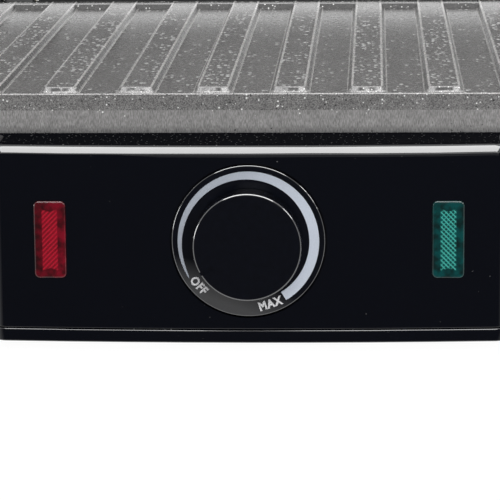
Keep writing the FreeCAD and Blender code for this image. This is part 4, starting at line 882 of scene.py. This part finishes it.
class GRILL_OT_heating(GrillOperator):
    """Heating elements, reflector pans, thermostat and the other pieces inside"""

    bl_idname = "grill.heating"
    bl_label = "Heating and controls"

    def make(self):
        inside = [
            "lower_element", "lower_element_pins", "lower_reflector", "lower_element_clips",
            "upper_element", "upper_element_pins", "upper_reflector", "upper_element_clips",
            "upper_thermal_cutout", "thermostat_bracket", "thermostat", "thermostat_bulb", "capillary_tube",
            "thermostat_spindle", "terminal_block", "thermal_fuse"]
        for node in inside:
            paint(node, finish(slot_of(node)))


class GRILL_OT_hinge(GrillOperator):
    """Hinge towers, shaft with its caps, cover, lugs and bushes"""

    bl_idname = "grill.hinge"
    bl_label = "Hinge"

    def make(self):
        for node in ("left_hinge_tower", "right_hinge_tower", "hinge_cover", "shaft_caps"):
            skin(node, finish("cover_black"))
        for node in ("left_hinge_lug", "right_hinge_lug"):
            skin(node, finish("lug_cast"))
        paint("hinge_shaft", finish("shaft_steel"))
        paint("hinge_bushes", finish("bush_brass"))


class GRILL_OT_lid(GrillOperator):
    """Gloss lid with its brushed steel cover and inner frame"""

    bl_idname = "grill.lid"
    bl_label = "Lid"

    def make(self):
        skin("lid_housing", finish("lid_black"), 40)
        skin("lid_cover", finish("lid_steel"), 40)
        skin("lid_frame", finish("frame_black"))


class GRILL_OT_handle(GrillOperator):
    """Handle brackets, grip and rod"""

    bl_idname = "grill.handle"
    bl_label = "Handle"

    def make(self):
        skin("left_handle_bracket", finish("cover_black"))
        skin("right_handle_bracket", finish("cover_black"))
        skin("handle_grip", finish("grip_black"))
        paint("handle_rod", finish("shaft_steel"))


class GRILL_OT_tray(GrillOperator):
    """Drip tray in the left side"""

    bl_idname = "grill.tray"
    bl_label = "Drip tray"

    def make(self):
        skin("drip_tray", finish("tray_black"))


class GRILL_OT_screws(GrillOperator):
    """Pan-head screws under the base and in the lid's frame"""

    bl_idname = "grill.screws"
    bl_label = "Screws"

    def make(self):
        pattern = self.make_pattern()
        cover_low, cover_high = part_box("bottom_cover")
        centre_y = self.drawing_shift()
        under = [(x, y) for x, y in ((0.04, -0.133), (0.135, -0.03), (0.135, 0.143)) for x in (-x, x)]
        for number, (x, y) in enumerate(under, start=1):
            place = Matrix.Translation((x, y + centre_y, cover_low.z + 0.0011))
            self.place("bottom_screw_%d" % number, pattern, place, "base")
        frame_low = self.closed_low("lid_frame")
        for number, (x, y) in enumerate([(x, y) for x in (-0.129, 0.129) for y in (-0.05, 0.055)], start=1):
            place = open_turn() @ Matrix.Translation((x, y + centre_y, frame_low))
            self.place("lid_screw_%d" % number, pattern, place, "lid")
        bpy.data.objects.remove(pattern)

    def drawing_shift(self):
        """How far the grill stands from where it is drawn, in y: the hinge is drawn 150 mm behind the origin."""
        return JOINTS["lid_hinge"]["pos_m"][1] - 150 * MM

    def closed_low(self, node):
        """The lowest height of one of the lid's nodes with the lid shut."""
        back = open_turn().inverted()
        return min((back @ vertex.co).z for vertex in NODES[node].data.vertices)

    def make_pattern(self):
        """A pan head with a cross recess, whose flat side is up."""
        size = sizes()
        bpy.ops.object.select_all(action="DESELECT")
        bpy.ops.mesh.primitive_cylinder_add(vertices=40, radius=size.screw_radius, depth=size.screw_height,
                                            location=(0, 0, -size.screw_height / 2))
        head = named("screw_pattern")
        settle(head)
        edit(head)
        pick_faces(head, lambda centre, normal: normal.z < -0.9)
        bpy.ops.mesh.bevel(offset=size.screw_height * 0.55, segments=4, affect="EDGES")
        leave_edit()
        for number, turn in enumerate((0, math.pi / 2)):
            bpy.ops.object.select_all(action="DESELECT")
            bpy.ops.mesh.primitive_cube_add(size=1, location=(0, 0, -size.screw_height), rotation=(0, 0, turn))
            bar = named("recess_bar_%d" % number)
            bar.scale = (size.screw_cross, size.screw_cross * 0.2, size.screw_height * 1.1)
            settle(bar)
            apply_modifier(head, "BOOLEAN", operation="DIFFERENCE", object=bar, solver="EXACT")
            bpy.data.objects.remove(bar)
        smooth(head, 35)
        return head

    def place(self, name, pattern, matrix, body):
        piece = copy_piece(pattern, name)
        piece.matrix_world = matrix
        settle(piece)
        finish_piece(piece, body, "screw_steel", finish("screw_steel"))


class GRILL_OT_stage(GrillOperator):
    """Pale floor, soft lights and the camera"""

    bl_idname = "grill.stage"
    bl_label = "Stage"

    def make(self):
        self.make_floor()
        self.make_world()
        self.make_lights()
        self.make_camera()

    def seen_directly(self, tree):
        """1 where the camera sees the stage itself, in a mirror or through glass."""
        path = put(tree, "ShaderNodeLightPath").outputs
        both = calculate(tree, "MAXIMUM", path["Is Camera Ray"], path["Is Glossy Ray"])
        return calculate(tree, "MAXIMUM", both, path["Is Transmission Ray"])

    def make_floor(self):
        stage = bpy.context.scene.grill_stage
        bpy.ops.object.select_all(action="DESELECT")
        bpy.ops.mesh.primitive_plane_add(size=stage.floor_size)
        floor = named("floor")
        material = bpy.data.materials.new("White floor")
        material.use_nodes = True
        tree = material.node_tree
        tree.nodes.clear()
        paper = put(tree, "ShaderNodeBsdfDiffuse", {"Color": (0.8, 0.8, 0.8, 1)})
        glow = put(tree, "ShaderNodeEmission", {"Color": (1, 1, 1, 1), "Strength": 1.17})
        share = calculate(tree, "MULTIPLY", self.seen_directly(tree), 0.82)
        mixed = put(tree, "ShaderNodeMixShader", {0: share, 1: paper.outputs[0], 2: glow.outputs[0]})
        put(tree, "ShaderNodeOutputMaterial", {"Surface": mixed.outputs[0]})
        floor.data.materials.append(material)

    def make_world(self):
        stage = bpy.context.scene.grill_stage
        world = bpy.data.worlds.new("Studio")
        bpy.context.scene.world = world
        world.use_nodes = True
        tree = world.node_tree
        tree.nodes.clear()
        strength = ramp(tree, self.seen_directly(tree), 0.0, 1.0, stage.world_strength, 1.0)
        sky = put(tree, "ShaderNodeBackground", {"Color": (1, 1, 1, 1), "Strength": strength})
        put(tree, "ShaderNodeOutputWorld", {"Surface": sky.outputs[0]})

    def add_softbox(self, name, place, target, width, depth, watts):
        bpy.ops.object.select_all(action="DESELECT")
        bpy.ops.object.light_add(type="AREA", location=place)
        lamp = named(name)
        lamp.data.shape = "RECTANGLE"
        lamp.data.size = width
        lamp.data.size_y = depth
        lamp.data.energy = watts
        lamp.rotation_euler = (Vector(target) - Vector(place)).to_track_quat("-Z", "Y").to_euler()
        lamp.visible_camera = False
        return lamp

    def make_lights(self):
        """Broad lights for the whole, and softboxes that only show in reflections."""
        stage = bpy.context.scene.grill_stage
        low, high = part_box("base_housing")
        self.add_softbox("front_light", (0.45, low.y - 1.7, 0.75), (0, low.y, 0.05), 1.6, 0.8,
                         stage.front_watts)
        bright = stage.softbox_radiance
        overhead = self.add_softbox("softbox_overhead", (0, low.y - 0.34, 1.05), (0, low.y - 0.34, 0),
                                    1.3, 1.42, bright * math.pi * 1.3 * 1.42)
        left = self.add_softbox("softbox_left", (-1.2, low.y - 0.1, 0.15), (0, low.y, 0.04), 0.5, 0.4,
                                bright * math.pi * 0.5 * 0.4)
        right = self.add_softbox("softbox_right", (1.1, low.y - 0.1, 0.75), (0, low.y, 0.04), 0.6, 0.4,
                                 bright * math.pi * 0.6 * 0.4)
        rear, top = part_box("lower_plate")[1].y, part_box("lower_plate")[1].z
        gap = self.add_softbox("gap_behind_plate", (0, rear - 0.004, top + 0.0037), (0, low.y, top + 0.0037),
                               0.27, 0.0065, stage.gap_radiance * math.pi * 0.27 * 0.0065)
        for lamp in (overhead, left, right, gap):
            lamp.visible_diffuse = False

    def make_camera(self):
        stage = bpy.context.scene.grill_stage
        yaw, pitch, roll = stage.camera_yaw, stage.camera_pitch, stage.camera_roll
        ahead = Vector((-math.sin(yaw) * math.cos(pitch), math.cos(yaw) * math.cos(pitch), -math.sin(pitch)))
        right = Vector((math.cos(yaw), math.sin(yaw), 0))
        up = right.cross(ahead)
        turned_right = math.cos(roll) * right + math.sin(roll) * up
        turned_up = -math.sin(roll) * right + math.cos(roll) * up
        bpy.ops.object.select_all(action="DESELECT")
        bpy.ops.object.camera_add(location=stage.camera_place)
        camera = named("camera")
        axes = Matrix((turned_right, turned_up, -ahead)).transposed()
        camera.rotation_euler = axes.to_euler()
        camera.data.sensor_width = 36
        camera.data.lens = 36 * stage.focal / 500
        camera.data.clip_start = 0.01
        camera.data.clip_end = 50
        bpy.context.scene.camera = camera
        bpy.context.scene.view_settings.view_transform = "Standard"


PIECES = (
    GRILL_OT_housing, GRILL_OT_plates, GRILL_OT_dial, GRILL_OT_lamps, GRILL_OT_heating, GRILL_OT_hinge,
    GRILL_OT_lid, GRILL_OT_handle, GRILL_OT_tray, GRILL_OT_screws, GRILL_OT_stage)


class GRILL_PT_sidebar(bpy.types.Panel):
    """Lists the operators that build the grill"""

    bl_idname = "GRILL_PT_sidebar"
    bl_label = "Contact grill"
    bl_space_type = "VIEW_3D"
    bl_region_type = "UI"
    bl_category = "Grill"

    def draw(self, context):
        column = self.layout.column()
        for piece in PIECES:
            column.operator(piece.bl_idname)
        for group in (context.scene.grill_sizes, context.scene.grill_colours, context.scene.grill_stage):
            for name in group.__annotations__:
                column.prop(group, name)


GROUPS = {"grill_sizes": GrillSizes, "grill_colours": GrillColours, "grill_stage": GrillStage}


def register():
    for item in (*GROUPS.values(), *PIECES, GRILL_PT_sidebar):
        bpy.utils.register_class(item)
    for name, group in GROUPS.items():
        setattr(bpy.types.Scene, name, PointerProperty(type=group))


def unregister():
    for name in GROUPS:
        delattr(bpy.types.Scene, name)
    for item in reversed((*GROUPS.values(), *PIECES, GRILL_PT_sidebar)):
        bpy.utils.unregister_class(item)


def call(operator):
    """Runs an operator by its name and stops if it didn't finish."""
    group, name = operator.bl_idname.split(".")
    if getattr(getattr(bpy.ops, group), name)() != {"FINISHED"}:
        raise RuntimeError(operator.bl_label + " was not made")


def main():
    register()
    for piece in PIECES:
        call(piece)


if __name__ == "__main__":
    main()
